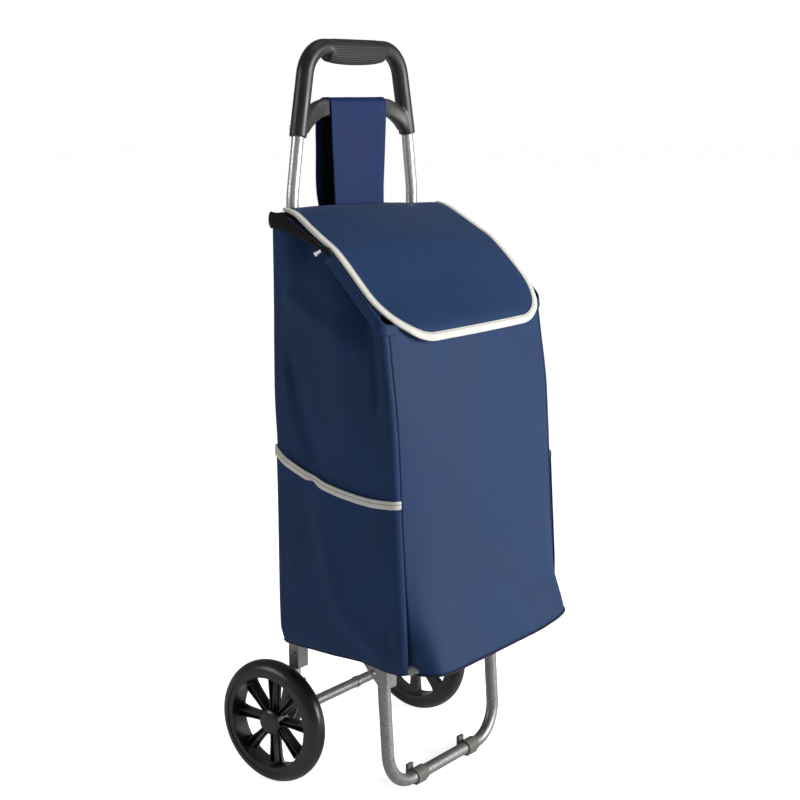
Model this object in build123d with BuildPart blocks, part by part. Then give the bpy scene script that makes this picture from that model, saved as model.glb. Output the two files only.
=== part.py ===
"""Folding shopping trolley: two wheels, a tube frame with a hinged base and support leg, and a soft bag.

Millimetres. +Z is up, the front of the bag faces -Y and +X is on the right when it is seen from the front.
The origin is on the floor under the middle of the trolley.
"""

import os

from build123d import *

os.makedirs("parts", exist_ok=True)

SIDES = {"left": -1, "right": 1}

# Wheels and axle
WHEEL_R = 80
TYRE_SECTION_R = 14
WHEEL_X = 158.5
AXLE_Y = 87
AXLE_Z = WHEEL_R
ROD_R = 4
AXLE_TUBE_R = 6.8
AXLE_TUBE_HALF = 142
RIM_SEAT_R = 62
RIM_HALF_WIDTH = 13
SPOKE_COUNT = 8
HUB_R = 14
HUB_BORE_R = 6.2
HUB_IN = -13
HUB_OUT = 7
COUNTERBORE_R = 11
COUNTERBORE_FLOOR = -2
RUNNING_GAP = 0.05

# Uprights
TUBE_R = 7.5
TUBE_WALL = 1.2
UPRIGHT_FOOT = (125, 79, 93)
UPRIGHT_BEND = (125, 69.1, 744)
UPRIGHT_SOCKET = (114, 68, 815)
UPRIGHT_IN_HANDLE = 25
UPRIGHT_BEND_R = 120
CROSS_TUBE_R = 6
CROSS_TUBE_HEIGHTS = {"lower_cross_tube": 290, "upper_cross_tube": 610}

# Handle
HANDLE_Y = 68
HANDLE_TOP = 934
HANDLE_R = 10.8
HANDLE_CORNER_X = 92
HANDLE_CORNER_R = 40
GRIP_HALF = 56
GRIP_HEIGHT = 28
GRIP_BELLY = 3.4
BAR_HALF_DEPTH = 5.5
BAR_TOP = 861

# Folding base
RAIL_X = 125
RAIL_Z = 193
BASE_PIVOT_Y = 30
RAIL_FRONT_Y = -147
BOW_CORNER = (196, -146)
BOW_MIDDLE_Y = -162
BOW_MIDDLE_R = 600
BOW_CORNER_R = 30
BOW_END = (126, -66)
CROSS_WIRE_R = 3
CROSS_WIRE_YS = (-15, -110)
PIVOT_PIN_R = 3
SHEET = 2

# Support leg
LEG_R = 8
LEG_X = 120
LEG_PIVOT = (-58.5, 174)
LEG_FOOT = (-68, 10)
LEG_CORNER_R = 46
LEG_GUSSET_FRONT_Y = -72
GUSSET_HOLE = (-51, 164)
GUSSET_HOLE_R = 4.2
CLIP_LENGTH = 22
CLIP_WALL = 2
CLIP_X = 58

# Bag
BAG_WALL = 3
BAG_REAR_Y = 59
BAG_FLOOR_Z = 202
BAG_SIDE_X = 171
BAG_SECTIONS = (
    # height, half width, front corner y, front middle y
    (BAG_FLOOR_Z, BAG_SIDE_X, -125, -150),
    (330, BAG_SIDE_X, -126, -142),
    (450, BAG_SIDE_X, -120, -131),
    (570, 166, -108, -117),
    (740, 160, -96, -103),
)
BAG_OPEN_TOP = (745, 160, -96, -103)
BAG_CORNER_R = 16
BAG_DROP = 9
BOARD_GAP = 3
BOARD_THICKNESS = 3
COLLAR_THICKNESS = 2.5
DRAWSTRING_HEIGHT = 3.5
MOUTH_MIDDLE = (0, -26, 650)
MOUTH_NORMAL = (0, -0.616, 0.788)
MOUTH_OUTER = (306, 186)
MOUTH_INNER = (220, 104)
CORD_STOP = (-150, 7, 682)
CORD_STOP_AXIS = (0, -0.87, 0.48)
CORD_STOP_R = 3.2
CORD_STOP_LENGTH = 15
STRAP_HALF_WIDTH = 55
STRAP_THICKNESS = 1.6
STRAP_BEND_R = 1.5
STRAP_ROUTE = (
    (60, 680), (60, 715), (61.2, 735), (61.2, 862.6), (75.5, 862.6), (83, 854), (86, 745), (62, 668), (60, 640),
)
REAR_LOOP_WIDTH = 30
REAR_LOOP_HEIGHTS = (360, 540)
FLAP_HALF_WIDTH = 169
FLAP_PROFILE = ((56, 731), (12, 713), (-11, 700), (-47, 669), (-83, 631), (-116, 600), (-125, 582))
FLAP_THICKNESS = Vector(1.6, -2.6)
FLAP_CORNER_R = 52
BINDING_WIDTH = 10
POCKET_GAP = 5
POCKET_SHEET = 2.5
POCKET_TOP = ((48, 450), (-10, 414), (-112, 397))
POCKET_BOTTOM = 206


def save(piece: BuildPart, name: str) -> None:
    """Label one finished piece and write it as a STEP file."""
    piece.part.label = name
    export_step(piece.part, f"parts/{name}.step")


def upright_y(z: float) -> float:
    """Depth of the leaning upright's centre line at height z, below its bend."""
    share = (z - UPRIGHT_FOOT[2]) / (UPRIGHT_BEND[2] - UPRIGHT_FOOT[2])
    return UPRIGHT_FOOT[1] + share * (UPRIGHT_BEND[1] - UPRIGHT_FOOT[1])


def side_plane(x: float, y: float = 0, z: float = 0) -> Plane:
    """Plane across the trolley's width: sketch x runs along +Y and sketch y along +Z."""
    return Plane(origin=(x, y, z), x_dir=(0, 1, 0), z_dir=(1, 0, 0))


def front_plane(y: float, x: float = 0, z: float = 0) -> Plane:
    """Plane facing the back: sketch x runs along +X and sketch y along +Z."""
    return Plane(origin=(x, y, z), x_dir=(1, 0, 0), z_dir=(0, -1, 0))


def tube_along(points: list, bend_radii: float, outer: float, wall: float) -> BuildPart:
    """Round tube swept along straight runs joined by tangent bends. A wall of 0 gives a solid bar."""
    with BuildPart() as tube:
        with BuildLine() as path:
            if len(points) > 2:
                FilletPolyline(*points, radius=bend_radii)
            else:
                Line(*points)
        with BuildSketch(Plane(origin=path.line @ 0, z_dir=path.line % 0)):
            Circle(outer)
            if wall:
                Circle(outer - wall, mode=Mode.SUBTRACT)
        sweep()
    return tube


def wheel_section(side: int) -> Plane:
    """Plane through a wheel's axis: sketch x points outwards along the axle, sketch y along a radius."""
    return Plane(origin=(side * WHEEL_X, AXLE_Y, AXLE_Z), x_dir=(side, 0, 0), z_dir=(0, -1, 0))


def wheel_face(side: int, depth: float) -> Plane:
    """Plane square to the axle, depth outwards from the middle of the wheel, facing outwards."""
    return Plane(origin=(side * (WHEEL_X + depth), AXLE_Y, AXLE_Z), x_dir=(0, 1, 0), z_dir=(side, 0, 0))


AXLE_LINE = Axis((0, AXLE_Y, AXLE_Z), (1, 0, 0))


# --- Wheels -------------------------------------------------------------------------------------


def make_tyre(side: int) -> BuildPart:
    """Solid tyre with a round tread and a tongue that sits in the rim's channel."""
    crown_r = WHEEL_R - TYRE_SECTION_R
    with BuildPart() as tyre:
        with BuildSketch(wheel_section(side)):
            with Locations((0, crown_r)):
                Circle(TYRE_SECTION_R)
            with Locations((0, crown_r - TYRE_SECTION_R)):
                Rectangle(2 * TYRE_SECTION_R, 2 * TYRE_SECTION_R, mode=Mode.SUBTRACT)
            with Locations((0, (crown_r + RIM_SEAT_R) / 2)):
                Rectangle(17.6, crown_r - RIM_SEAT_R)
        revolve(axis=AXLE_LINE)
    return tyre


def spoke_web(tip_r: float) -> Sketch:
    """Recessed plate of one spoke along sketch x, flaring from the hub to the barrel at tip_r."""
    with BuildSketch() as web:
        with BuildLine():
            lower = Spline((10, -4.5), (34, -5.5), (tip_r, -12), tangents=((1, 0), (1, -0.9)))
            upper = Spline((10, 4.5), (34, 5.5), (tip_r, 12), tangents=((1, 0), (1, 0.9)))
            Line(lower @ 0, upper @ 0)
            Line(lower @ 1, upper @ 1)
        make_face()
    return web.sketch


def spoke_ribs() -> Sketch:
    """Two thin ribs of one spoke that meet near the barrel and enclose a narrow channel."""
    with BuildSketch() as ribs:
        with BuildLine():
            Polyline((10, -3), (32, -3.4), (56, -5.2), (56, 5.2), (32, 3.4), (10, 3), close=True)
        make_face()
        with BuildLine():
            Polyline((8, -1.6), (32, -2), (54.6, -3.8), (54.6, 3.8), (32, 2), (8, 1.6), close=True)
        make_face(mode=Mode.SUBTRACT)
    return ribs.sketch


def make_rim(side: int) -> BuildPart:
    """Moulded rim: channelled barrel, hub with stepped bore, and eight flared spokes with raised ribs."""
    barrel_in = RIM_SEAT_R - 3
    with BuildPart() as rim:
        with BuildSketch(wheel_section(side)):
            with Locations((0, (barrel_in + RIM_SEAT_R) / 2)):
                Rectangle(2 * RIM_HALF_WIDTH, RIM_SEAT_R - barrel_in)
            for lip in (-1, 1):
                with Locations((lip * 10.9, (RIM_SEAT_R + 66) / 2)):
                    Rectangle(4.2, 66 - RIM_SEAT_R)
            with Locations(((HUB_IN + HUB_OUT) / 2, HUB_R / 2)):
                Rectangle(HUB_OUT - HUB_IN, HUB_R)
        revolve(axis=AXLE_LINE)
        with BuildSketch(wheel_face(side, -9)):
            with PolarLocations(0, SPOKE_COUNT):
                add(spoke_web(barrel_in + 1))
        extrude(amount=4)
        with BuildSketch(wheel_face(side, -5)):
            with PolarLocations(0, SPOKE_COUNT):
                add(spoke_ribs())
        extrude(amount=9)
        with BuildSketch(wheel_face(side, HUB_IN)):
            Circle(HUB_R)
        extrude(amount=HUB_OUT - HUB_IN)
        with BuildSketch(wheel_face(side, HUB_IN)):
            Circle(HUB_BORE_R)
        extrude(amount=HUB_OUT - HUB_IN, mode=Mode.SUBTRACT)
        with BuildSketch(wheel_face(side, COUNTERBORE_FLOOR)):
            Circle(COUNTERBORE_R)
        extrude(amount=HUB_OUT - COUNTERBORE_FLOOR, mode=Mode.SUBTRACT)
    return rim


def make_hub_cap(side: int) -> BuildPart:
    """Domed snap-in cap with a skirt inside the hub's counterbore."""
    with BuildPart() as cap:
        with BuildSketch(wheel_section(side)):
            with BuildLine():
                rim_edge = Line((HUB_OUT, COUNTERBORE_R), (HUB_OUT, 16))
                lip = Line(rim_edge @ 1, (HUB_OUT + 2, 16))
                dome = Spline(lip @ 1, (HUB_OUT + 5, 9), (HUB_OUT + 6, 0), tangents=((1, -1), (0, -1)))
                Polyline(dome @ 1, (HUB_OUT + 3.4, 0), (HUB_OUT + 1.4, 9.4), (HUB_OUT - 4, 9.4))
                Polyline((HUB_OUT - 4, 9.4), (HUB_OUT - 4, COUNTERBORE_R), rim_edge @ 0)
            make_face()
        revolve(axis=AXLE_LINE)
    return cap


def make_bushes(side: int) -> BuildPart:
    """Two flanged nylon bushes pressed in the hub, running on the axle rod."""
    flanges = ((COUNTERBORE_FLOOR, COUNTERBORE_FLOOR + 1.2, COUNTERBORE_FLOOR - 5),
               (HUB_IN, HUB_IN - 1.2, HUB_IN + 5))
    with BuildPart() as bushes:
        with BuildSketch(wheel_section(side)):
            for seat, flange_face, tail in flanges:
                with BuildLine():
                    Polyline(
                        (flange_face, ROD_R + RUNNING_GAP), (flange_face, 8.5), (seat, 8.5),
                        (seat, HUB_BORE_R), (tail, HUB_BORE_R), (tail, ROD_R + RUNNING_GAP), close=True,
                    )
                make_face()
        revolve(axis=AXLE_LINE)
    return bushes


for side_name, side in SIDES.items():
    save(make_tyre(side), f"tyre_{side_name}")
    save(make_rim(side), f"rim_{side_name}")
    save(make_hub_cap(side), f"hub_cap_{side_name}")
    save(make_bushes(side), f"wheel_bushes_{side_name}")


# --- Axle ---------------------------------------------------------------------------------------

ROD_HALF = WHEEL_X + 3
save(tube_along([(-ROD_HALF, AXLE_Y, AXLE_Z), (ROD_HALF, AXLE_Y, AXLE_Z)], 0, ROD_R, 0), "axle_rod")

with BuildPart() as axle_tube:
    with BuildSketch(side_plane(-AXLE_TUBE_HALF, AXLE_Y, AXLE_Z)):
        Circle(AXLE_TUBE_R)
        Circle(ROD_R + 0.4, mode=Mode.SUBTRACT)
    extrude(amount=2 * AXLE_TUBE_HALF)
    with BuildSketch(side_plane(12, AXLE_Y, AXLE_Z)):
        Circle(AXLE_TUBE_R + 0.9)
        Circle(AXLE_TUBE_R - 1, mode=Mode.SUBTRACT)
    extrude(amount=7)
save(axle_tube, "axle_tube")


def make_rings(inner: float, outer: float, start: float, length: float) -> BuildPart:
    """One ring on the axle at each wheel, start mm outwards from the wheel's middle."""
    with BuildPart() as rings:
        for side in SIDES.values():
            with BuildSketch(wheel_face(side, start)):
                Circle(outer)
                Circle(inner, mode=Mode.SUBTRACT)
            extrude(amount=length)
    return rings


save(make_rings(ROD_R + 0.2, 9, HUB_IN - 2.8, 1.2), "axle_washers")
save(make_rings(ROD_R, 8, COUNTERBORE_FLOOR + 1.4, 1.2), "push_nuts")


# --- Uprights and what is fixed to them ----------------------------------------------------------


def mirrored(point: tuple, side: int) -> tuple:
    """The same point on the left or right side of the trolley."""
    return (side * point[0], point[1], point[2])


bend_to_socket = Vector(UPRIGHT_SOCKET) - Vector(UPRIGHT_BEND)
UPRIGHT_END = tuple(Vector(UPRIGHT_SOCKET) + bend_to_socket * (UPRIGHT_IN_HANDLE / bend_to_socket.Z))

for side_name, side in SIDES.items():
    route = [mirrored(p, side) for p in (UPRIGHT_FOOT, UPRIGHT_BEND, UPRIGHT_END)]
    save(tube_along(route, UPRIGHT_BEND_R, TUBE_R, TUBE_WALL), f"upright_{side_name}")

for name, height in CROSS_TUBE_HEIGHTS.items():
    with BuildPart() as cross_tube:
        with BuildSketch(side_plane(-RAIL_X, upright_y(height), height)):
            Circle(CROSS_TUBE_R)
            Circle(CROSS_TUBE_R - TUBE_WALL, mode=Mode.SUBTRACT)
        extrude(amount=2 * RAIL_X)
        for side in SIDES.values():
            with Locations((side * RAIL_X, upright_y(height), height)):
                Cylinder(TUBE_R + 0.1, 60, mode=Mode.SUBTRACT)
    save(cross_tube, name)


def make_axle_bracket(side: int) -> BuildPart:
    """Folded plate that joins the foot of an upright to the axle tube: two cheeks and a front web."""
    y_top = upright_y(110)
    with BuildPart() as bracket:
        for x in (RAIL_X - TUBE_R - 0.2 - SHEET, RAIL_X + TUBE_R + 0.2):
            with BuildSketch(side_plane(side * x if side > 0 else side * (x + SHEET))):
                with BuildLine():
                    Polyline((y_top - 11, 128), (y_top + 9, 128), (AXLE_Y + 11, 84), (AXLE_Y + 8, 69),
                             (AXLE_Y - 8, 69), (y_top - 11, 90), close=True)
                make_face()
                with Locations((AXLE_Y, AXLE_Z)):
                    Circle(AXLE_TUBE_R + 0.1, mode=Mode.SUBTRACT)
            extrude(amount=SHEET)
        with BuildSketch(front_plane(y_top - 9, side * RAIL_X, 109)):
            Rectangle(2 * (TUBE_R + 0.2) + 2 * SHEET, 38)
        extrude(amount=SHEET)
    return bracket


def make_hinge_bracket(side: int) -> BuildPart:
    """Folded plate on the front of an upright whose two ears carry the pivot of a base rail."""
    y_mid = upright_y(170)
    web_y = y_mid - TUBE_R - 6
    ear_top = RAIL_Z + TUBE_R + 1
    with BuildPart() as bracket:
        for x in (RAIL_X - TUBE_R - 0.3 - SHEET, RAIL_X + TUBE_R + 0.3):
            with BuildSketch(side_plane(side * x if side > 0 else side * (x + SHEET))):
                with BuildLine():
                    Polyline((y_mid + 2, 146), (y_mid + 2, ear_top), (BASE_PIVOT_Y - 8, ear_top),
                             (BASE_PIVOT_Y - 8, 184), (web_y, 179), (web_y, 146), close=True)
                make_face()
                with Locations((BASE_PIVOT_Y, RAIL_Z)):
                    Circle(PIVOT_PIN_R, mode=Mode.SUBTRACT)
                with Locations((web_y + 4, 152), (web_y + 4, 167)):
                    Circle(1.8, mode=Mode.SUBTRACT)
            extrude(amount=SHEET)
        with BuildSketch(front_plane(web_y + SHEET, side * RAIL_X, 162)):
            Rectangle(2 * (TUBE_R + 0.3) + 2 * SHEET, 32)
        extrude(amount=SHEET)
    return bracket


for side_name, side in SIDES.items():
    save(make_axle_bracket(side), f"axle_bracket_{side_name}")
    save(make_hinge_bracket(side), f"hinge_bracket_{side_name}")


def make_cross_rivets(y: float, z: float, shank_r: float, grip: tuple, x_mid: float) -> BuildPart:
    """One rivet on each side, through a pair of cheeks whose outer faces are grip apart."""
    head_r = shank_r + 2.2
    with BuildPart() as rivets:
        for side in SIDES.values():
            with BuildSketch(side_plane(side * x_mid - grip / 2, y, z)):
                Circle(shank_r)
            extrude(amount=grip)
            for end in (-1, 1):
                plane = Plane(origin=(side * x_mid + end * grip / 2, y, z), z_dir=(end, 0, 0))
                with BuildSketch(plane):
                    Circle(head_r)
                extrude(amount=1.6, taper=35)
    return rivets


RAIL_GRIP = 2 * (TUBE_R + 0.3 + SHEET)
LEG_GRIP = 2 * (LEG_R + 0.3 + SHEET)
save(make_cross_rivets(BASE_PIVOT_Y, RAIL_Z, PIVOT_PIN_R, RAIL_GRIP, RAIL_X), "base_pivot_rivets")


# --- Handle -------------------------------------------------------------------------------------

BAR_Z = HANDLE_TOP - HANDLE_R
handle_route = [(-UPRIGHT_SOCKET[0], HANDLE_Y, UPRIGHT_SOCKET[2]), (-HANDLE_CORNER_X, HANDLE_Y, BAR_Z),
                (HANDLE_CORNER_X, HANDLE_Y, BAR_Z), (UPRIGHT_SOCKET[0], HANDLE_Y, UPRIGHT_SOCKET[2])]

with BuildPart() as handle:
    with BuildLine() as handle_path:
        FilletPolyline(*handle_route, radius=HANDLE_CORNER_R)
    with BuildSketch(Plane(origin=handle_path.line @ 0, z_dir=handle_path.line % 0)):
        Circle(HANDLE_R)
    sweep()
    with BuildSketch(side_plane(-GRIP_HALF, HANDLE_Y, HANDLE_TOP - GRIP_HEIGHT / 2)):
        Ellipse(HANDLE_R + 0.6, GRIP_HEIGHT / 2)
    extrude(amount=2 * GRIP_HALF)
    with BuildSketch(front_plane(HANDLE_Y + BAR_HALF_DEPTH)):
        with BuildLine():
            left_top = Spline((-103, 848), (-85, 855), (-60, BAR_TOP), tangents=((1, 0.3), (1, 0)))
            flat_top = Line(left_top @ 1, (60, BAR_TOP))
            right_top = Spline(flat_top @ 1, (85, 855), (103, 848), tangents=((1, 0), (1, -0.3)))
            right_low = Spline((107, 822), (84, 836), (56, 840), tangents=((-0.5, 1), (-1, 0)))
            flat_low = Line(right_low @ 1, (-56, 840))
            left_low = Spline(flat_low @ 1, (-84, 836), (-107, 822), tangents=((-1, 0), (-0.5, -1)))
            Line(right_top @ 1, right_low @ 0)
            Line(left_low @ 1, left_top @ 0)
        make_face()
    extrude(amount=2 * BAR_HALF_DEPTH)
    for side in SIDES.values():
        socket = Vector(mirrored(UPRIGHT_SOCKET, side))
        tip = Vector(mirrored(UPRIGHT_END, side))
        with BuildSketch(Plane(origin=socket - (tip - socket) * 0.5, z_dir=tip - socket)):
            Circle(TUBE_R)
        extrude(amount=(tip - socket).length * 1.5, mode=Mode.SUBTRACT)
save(handle, "handle")

with BuildPart() as grip_pad:
    with BuildSketch(front_plane(HANDLE_Y + 8)):
        with BuildLine():
            belly = ThreePointArc((-50, HANDLE_TOP - GRIP_HEIGHT), (0, HANDLE_TOP - GRIP_HEIGHT - GRIP_BELLY),
                                  (50, HANDLE_TOP - GRIP_HEIGHT))
            Polyline(belly @ 1, (50, BAR_Z - 6), (-50, BAR_Z - 6), belly @ 0)
        make_face()
    extrude(amount=16)
    add(handle.part, mode=Mode.SUBTRACT)
save(grip_pad, "grip_pad")

with BuildPart() as handle_screws:
    for side in SIDES.values():
        with Locations(Plane(origin=(side * 112.4, HANDLE_Y + HANDLE_R - 1.2, 826), z_dir=(0, 1, 0))):
            Cylinder(3.6, 2.4, align=(Align.CENTER, Align.CENTER, Align.MIN))
    add(handle.part, mode=Mode.SUBTRACT)
save(handle_screws, "handle_screws")


# --- Folding base -------------------------------------------------------------------------------

bow_route = [(-BOW_END[0], BOW_END[1], RAIL_Z), (-BOW_CORNER[0], BOW_CORNER[1], RAIL_Z),
             (0, BOW_MIDDLE_Y, RAIL_Z),
             (BOW_CORNER[0], BOW_CORNER[1], RAIL_Z), (BOW_END[0], BOW_END[1], RAIL_Z)]
bow_radii = [BOW_CORNER_R, BOW_MIDDLE_R, BOW_CORNER_R]
bow_envelope = tube_along(bow_route, bow_radii, TUBE_R, 0)

for side_name, side in SIDES.items():
    with BuildPart() as rail:
        with BuildSketch(Plane(origin=(side * RAIL_X, BASE_PIVOT_Y, RAIL_Z), x_dir=(0, -1, 0), z_dir=(1, 0, 0))):
            with BuildLine():
                length = BASE_PIVOT_Y - RAIL_FRONT_Y
                bore_r = TUBE_R - TUBE_WALL
                nose = RadiusArc((-TUBE_R, 0), (0, TUBE_R), TUBE_R)
                Polyline(nose @ 1, (length, TUBE_R), (length, bore_r), (12, bore_r), (12, 0), nose @ 0)
            make_face()
        revolve(axis=Axis((side * RAIL_X, 0, RAIL_Z), (0, 1, 0)))
        with BuildSketch(side_plane(side * RAIL_X - TUBE_R, BASE_PIVOT_Y, RAIL_Z)):
            Circle(PIVOT_PIN_R + RUNNING_GAP)
        extrude(amount=2 * TUBE_R, mode=Mode.SUBTRACT)
        add(bow_envelope.part, mode=Mode.SUBTRACT)
    front_piece = rail.part.solids().sort_by(SortBy.VOLUME)[-1]
    with BuildPart() as trimmed_rail:
        add(front_piece)
    save(trimmed_rail, f"rail_{side_name}")

with BuildPart() as front_bow:
    add(tube_along(bow_route, bow_radii, TUBE_R, TUBE_WALL).part)
    for side in SIDES.values():
        with Locations(Plane(origin=(side * RAIL_X, BOW_END[1], RAIL_Z), z_dir=(0, 1, 0))):
            Cylinder(TUBE_R, 60, mode=Mode.SUBTRACT)
with BuildPart() as trimmed_bow:
    add(front_bow.part.solids().sort_by(SortBy.VOLUME)[-1])
save(trimmed_bow, "front_bow")

with BuildPart() as cross_wires:
    for y in CROSS_WIRE_YS:
        with BuildSketch(side_plane(-RAIL_X, y, RAIL_Z)):
            Circle(CROSS_WIRE_R)
        extrude(amount=2 * RAIL_X)
    for side in SIDES.values():
        with BuildSketch(Plane(origin=(side * RAIL_X, BASE_PIVOT_Y, RAIL_Z), z_dir=(0, -1, 0))):
            Circle(TUBE_R)
        extrude(amount=BASE_PIVOT_Y - RAIL_FRONT_Y, mode=Mode.SUBTRACT)
save(cross_wires, "cross_wires")


def make_leg_gusset(side: int) -> BuildPart:
    """Folded bracket under a rail: top plate, front web and two cheeks, open to the rear for the leg."""
    pivot_y, pivot_z = LEG_PIVOT
    top_z = RAIL_Z - TUBE_R
    web_y = LEG_GUSSET_FRONT_Y
    inner_x = LEG_X - LEG_R - 0.3 - SHEET
    outer_x = LEG_X + LEG_R + 0.3
    outlines = {
        outer_x: ((-28, top_z), (-28, 183), (-45, 162), (-57, 149), (-62, 145), (web_y, 145), (web_y, top_z)),
        inner_x: ((-49, top_z), (-49, 156), (-60, 145), (web_y, 145), (web_y, top_z)),
    }
    with BuildPart() as gusset:
        for x, outline in outlines.items():
            with BuildSketch(side_plane(side * x if side > 0 else side * (x + SHEET))):
                with BuildLine():
                    Polyline(*outline, close=True)
                make_face()
                with Locations((pivot_y, pivot_z)):
                    Circle(PIVOT_PIN_R, mode=Mode.SUBTRACT)
                if x == outer_x:
                    with Locations(GUSSET_HOLE):
                        Circle(GUSSET_HOLE_R, mode=Mode.SUBTRACT)
            extrude(amount=SHEET)
        with BuildSketch(front_plane(web_y + SHEET, side * LEG_X, (145 + top_z) / 2)):
            Rectangle(LEG_GRIP, top_z - 145)
        extrude(amount=SHEET)
        with BuildSketch(Plane.XY.offset(top_z - SHEET)):
            with Locations((side * LEG_X, (web_y - 28) / 2)):
                Rectangle(LEG_GRIP, -28 - web_y)
        extrude(amount=SHEET)
        with BuildSketch(Plane(origin=(side * RAIL_X, BASE_PIVOT_Y, RAIL_Z), z_dir=(0, -1, 0))):
            Circle(TUBE_R)
        extrude(amount=BASE_PIVOT_Y - RAIL_FRONT_Y, mode=Mode.SUBTRACT)
    return gusset


for side_name, side in SIDES.items():
    save(make_leg_gusset(side), f"leg_gusset_{side_name}")
save(make_cross_rivets(*LEG_PIVOT, PIVOT_PIN_R, LEG_GRIP, LEG_X), "leg_pivot_rivets")


# --- Support leg --------------------------------------------------------------------------------

leg_top = (LEG_X, *LEG_PIVOT)
leg_foot = (LEG_X, *LEG_FOOT)
leg_route = [mirrored(leg_top, -1), mirrored(leg_foot, -1), leg_foot, leg_top]

with BuildPart() as leg_tube:
    add(tube_along(leg_route, LEG_CORNER_R, LEG_R, TUBE_WALL).part)
    for side in SIDES.values():
        with Locations(mirrored(leg_top, side)):
            Sphere(LEG_R)
        with BuildSketch(side_plane(side * LEG_X - LEG_R, *LEG_PIVOT)):
            Circle(PIVOT_PIN_R + RUNNING_GAP)
        extrude(amount=2 * LEG_R, mode=Mode.SUBTRACT)
save(leg_tube, "leg_tube")


def make_foot_clip(side: int) -> BuildPart:
    """Plastic clip round the leg's crossbar, with a flat foot underneath and a small tab behind."""
    y, z = LEG_FOOT
    start_x = side * CLIP_X - CLIP_LENGTH / 2
    with BuildPart() as clip:
        with BuildSketch(side_plane(start_x, y, z)):
            Circle(LEG_R + CLIP_WALL)
            with Locations((0, -z / 2)):
                Rectangle(1.5 * LEG_R, z)
            Circle(LEG_R, mode=Mode.SUBTRACT)
        extrude(amount=CLIP_LENGTH)
        with BuildSketch(side_plane(start_x, y, z)):
            with Locations((LEG_R + 2, 6)):
                Rectangle(4, 16)
            Circle(LEG_R, mode=Mode.SUBTRACT)
        extrude(amount=CLIP_LENGTH / 2)
    return clip


for side_name, side in SIDES.items():
    save(make_foot_clip(side), f"foot_clip_{side_name}")


# --- Bag ----------------------------------------------------------------------------------------


def bag_section(section: tuple, inset: float) -> Sketch:
    """Level outline of the bag at one height: straight back and sides, bowed front, rounded corners."""
    height, half_width, corner_y, middle_y = section
    half = half_width - inset
    with BuildSketch(Plane.XY.offset(height)) as outline:
        with BuildLine():
            rear = Line((-half, BAG_REAR_Y - inset), (half, BAG_REAR_Y - inset))
            right = Line(rear @ 1, (half, corner_y + inset))
            front = ThreePointArc(right @ 1, (0, middle_y + inset), (-half, corner_y + inset))
            Line(front @ 1, rear @ 0)
        make_face()
        fillet(outline.vertices(), BAG_CORNER_R - inset)
    return outline.sketch


def above_flap(drop: float) -> Sketch:
    """Side view of all the space above the flap's profile lowered by drop."""
    heights = [(y, z - drop) for y, z in FLAP_PROFILE]
    with BuildSketch(side_plane(-200)) as space:
        with BuildLine():
            profile = Spline(*heights)
            Polyline(profile @ 1, (-220, 560), (-220, 800), (100, 800), (100, heights[0][1]), profile @ 0)
        make_face()
    return space.sketch


bag_floor = (BAG_FLOOR_Z + BAG_WALL, *BAG_SECTIONS[0][1:])

with BuildPart() as bag_body:
    loft([bag_section(section, 0) for section in BAG_SECTIONS], ruled=True)
    inner_sections = (bag_floor, *BAG_SECTIONS[1:-1], BAG_OPEN_TOP)
    loft([bag_section(section, BAG_WALL) for section in inner_sections], ruled=True, mode=Mode.SUBTRACT)
    extrude(above_flap(BAG_DROP), amount=400, mode=Mode.SUBTRACT)
save(bag_body, "bag_body")

with BuildPart() as base_board:
    extrude(bag_section(bag_floor, BAG_WALL + BOARD_GAP), amount=BOARD_THICKNESS)
save(base_board, "base_board")

mouth_plane = Plane(origin=MOUTH_MIDDLE, x_dir=(1, 0, 0), z_dir=MOUTH_NORMAL)

with BuildPart() as mouth_collar:
    with BuildSketch(mouth_plane):
        RectangleRounded(*MOUTH_OUTER, 14)
        RectangleRounded(*MOUTH_INNER, 24, mode=Mode.SUBTRACT)
    extrude(amount=COLLAR_THICKNESS)
save(mouth_collar, "mouth_collar")

with BuildPart() as drawstring:
    with BuildSketch(mouth_plane.offset(COLLAR_THICKNESS)):
        RectangleRounded(MOUTH_INNER[0] + 14, MOUTH_INNER[1] + 14, 31)
        RectangleRounded(MOUTH_INNER[0] + 7, MOUTH_INNER[1] + 7, 27.5, mode=Mode.SUBTRACT)
    extrude(amount=DRAWSTRING_HEIGHT)
save(drawstring, "drawstring")

with BuildPart() as cord_stop:
    with BuildSketch(Plane(origin=CORD_STOP, z_dir=CORD_STOP_AXIS)):
        Circle(CORD_STOP_R)
    extrude(amount=CORD_STOP_LENGTH)
save(cord_stop, "cord_stop")


def pocket_outline(side: int, inset: float) -> Sketch:
    """Side view of a pocket, with its cavity reaching up past the sagging top edge when inset."""
    rear_y, front_y = POCKET_TOP[0][0] - inset, POCKET_TOP[-1][0] + inset
    rise = 20 if inset else 0
    with BuildSketch(side_plane(side * BAG_SIDE_X)) as outline:
        with BuildLine():
            top = Spline(*[(y, z + rise) for y, z in POCKET_TOP])
            Polyline(top @ 1, (POCKET_TOP[-1][0], POCKET_BOTTOM), (POCKET_TOP[0][0], POCKET_BOTTOM), top @ 0)
        make_face()
        if inset:
            with Locations(((rear_y + front_y) / 2, (POCKET_BOTTOM + inset + 480) / 2)):
                Rectangle(rear_y - front_y, 480 - POCKET_BOTTOM - inset, mode=Mode.INTERSECT)
    return outline.sketch


def make_pocket(side: int) -> BuildPart:
    """Shallow open-topped side pocket sewn to the bag along its front, rear and lower edges."""
    with BuildPart() as pocket:
        extrude(pocket_outline(side, 0), amount=side * (POCKET_GAP + POCKET_SHEET))
        extrude(pocket_outline(side, 4), amount=side * POCKET_GAP, mode=Mode.SUBTRACT)
    return pocket


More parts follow.
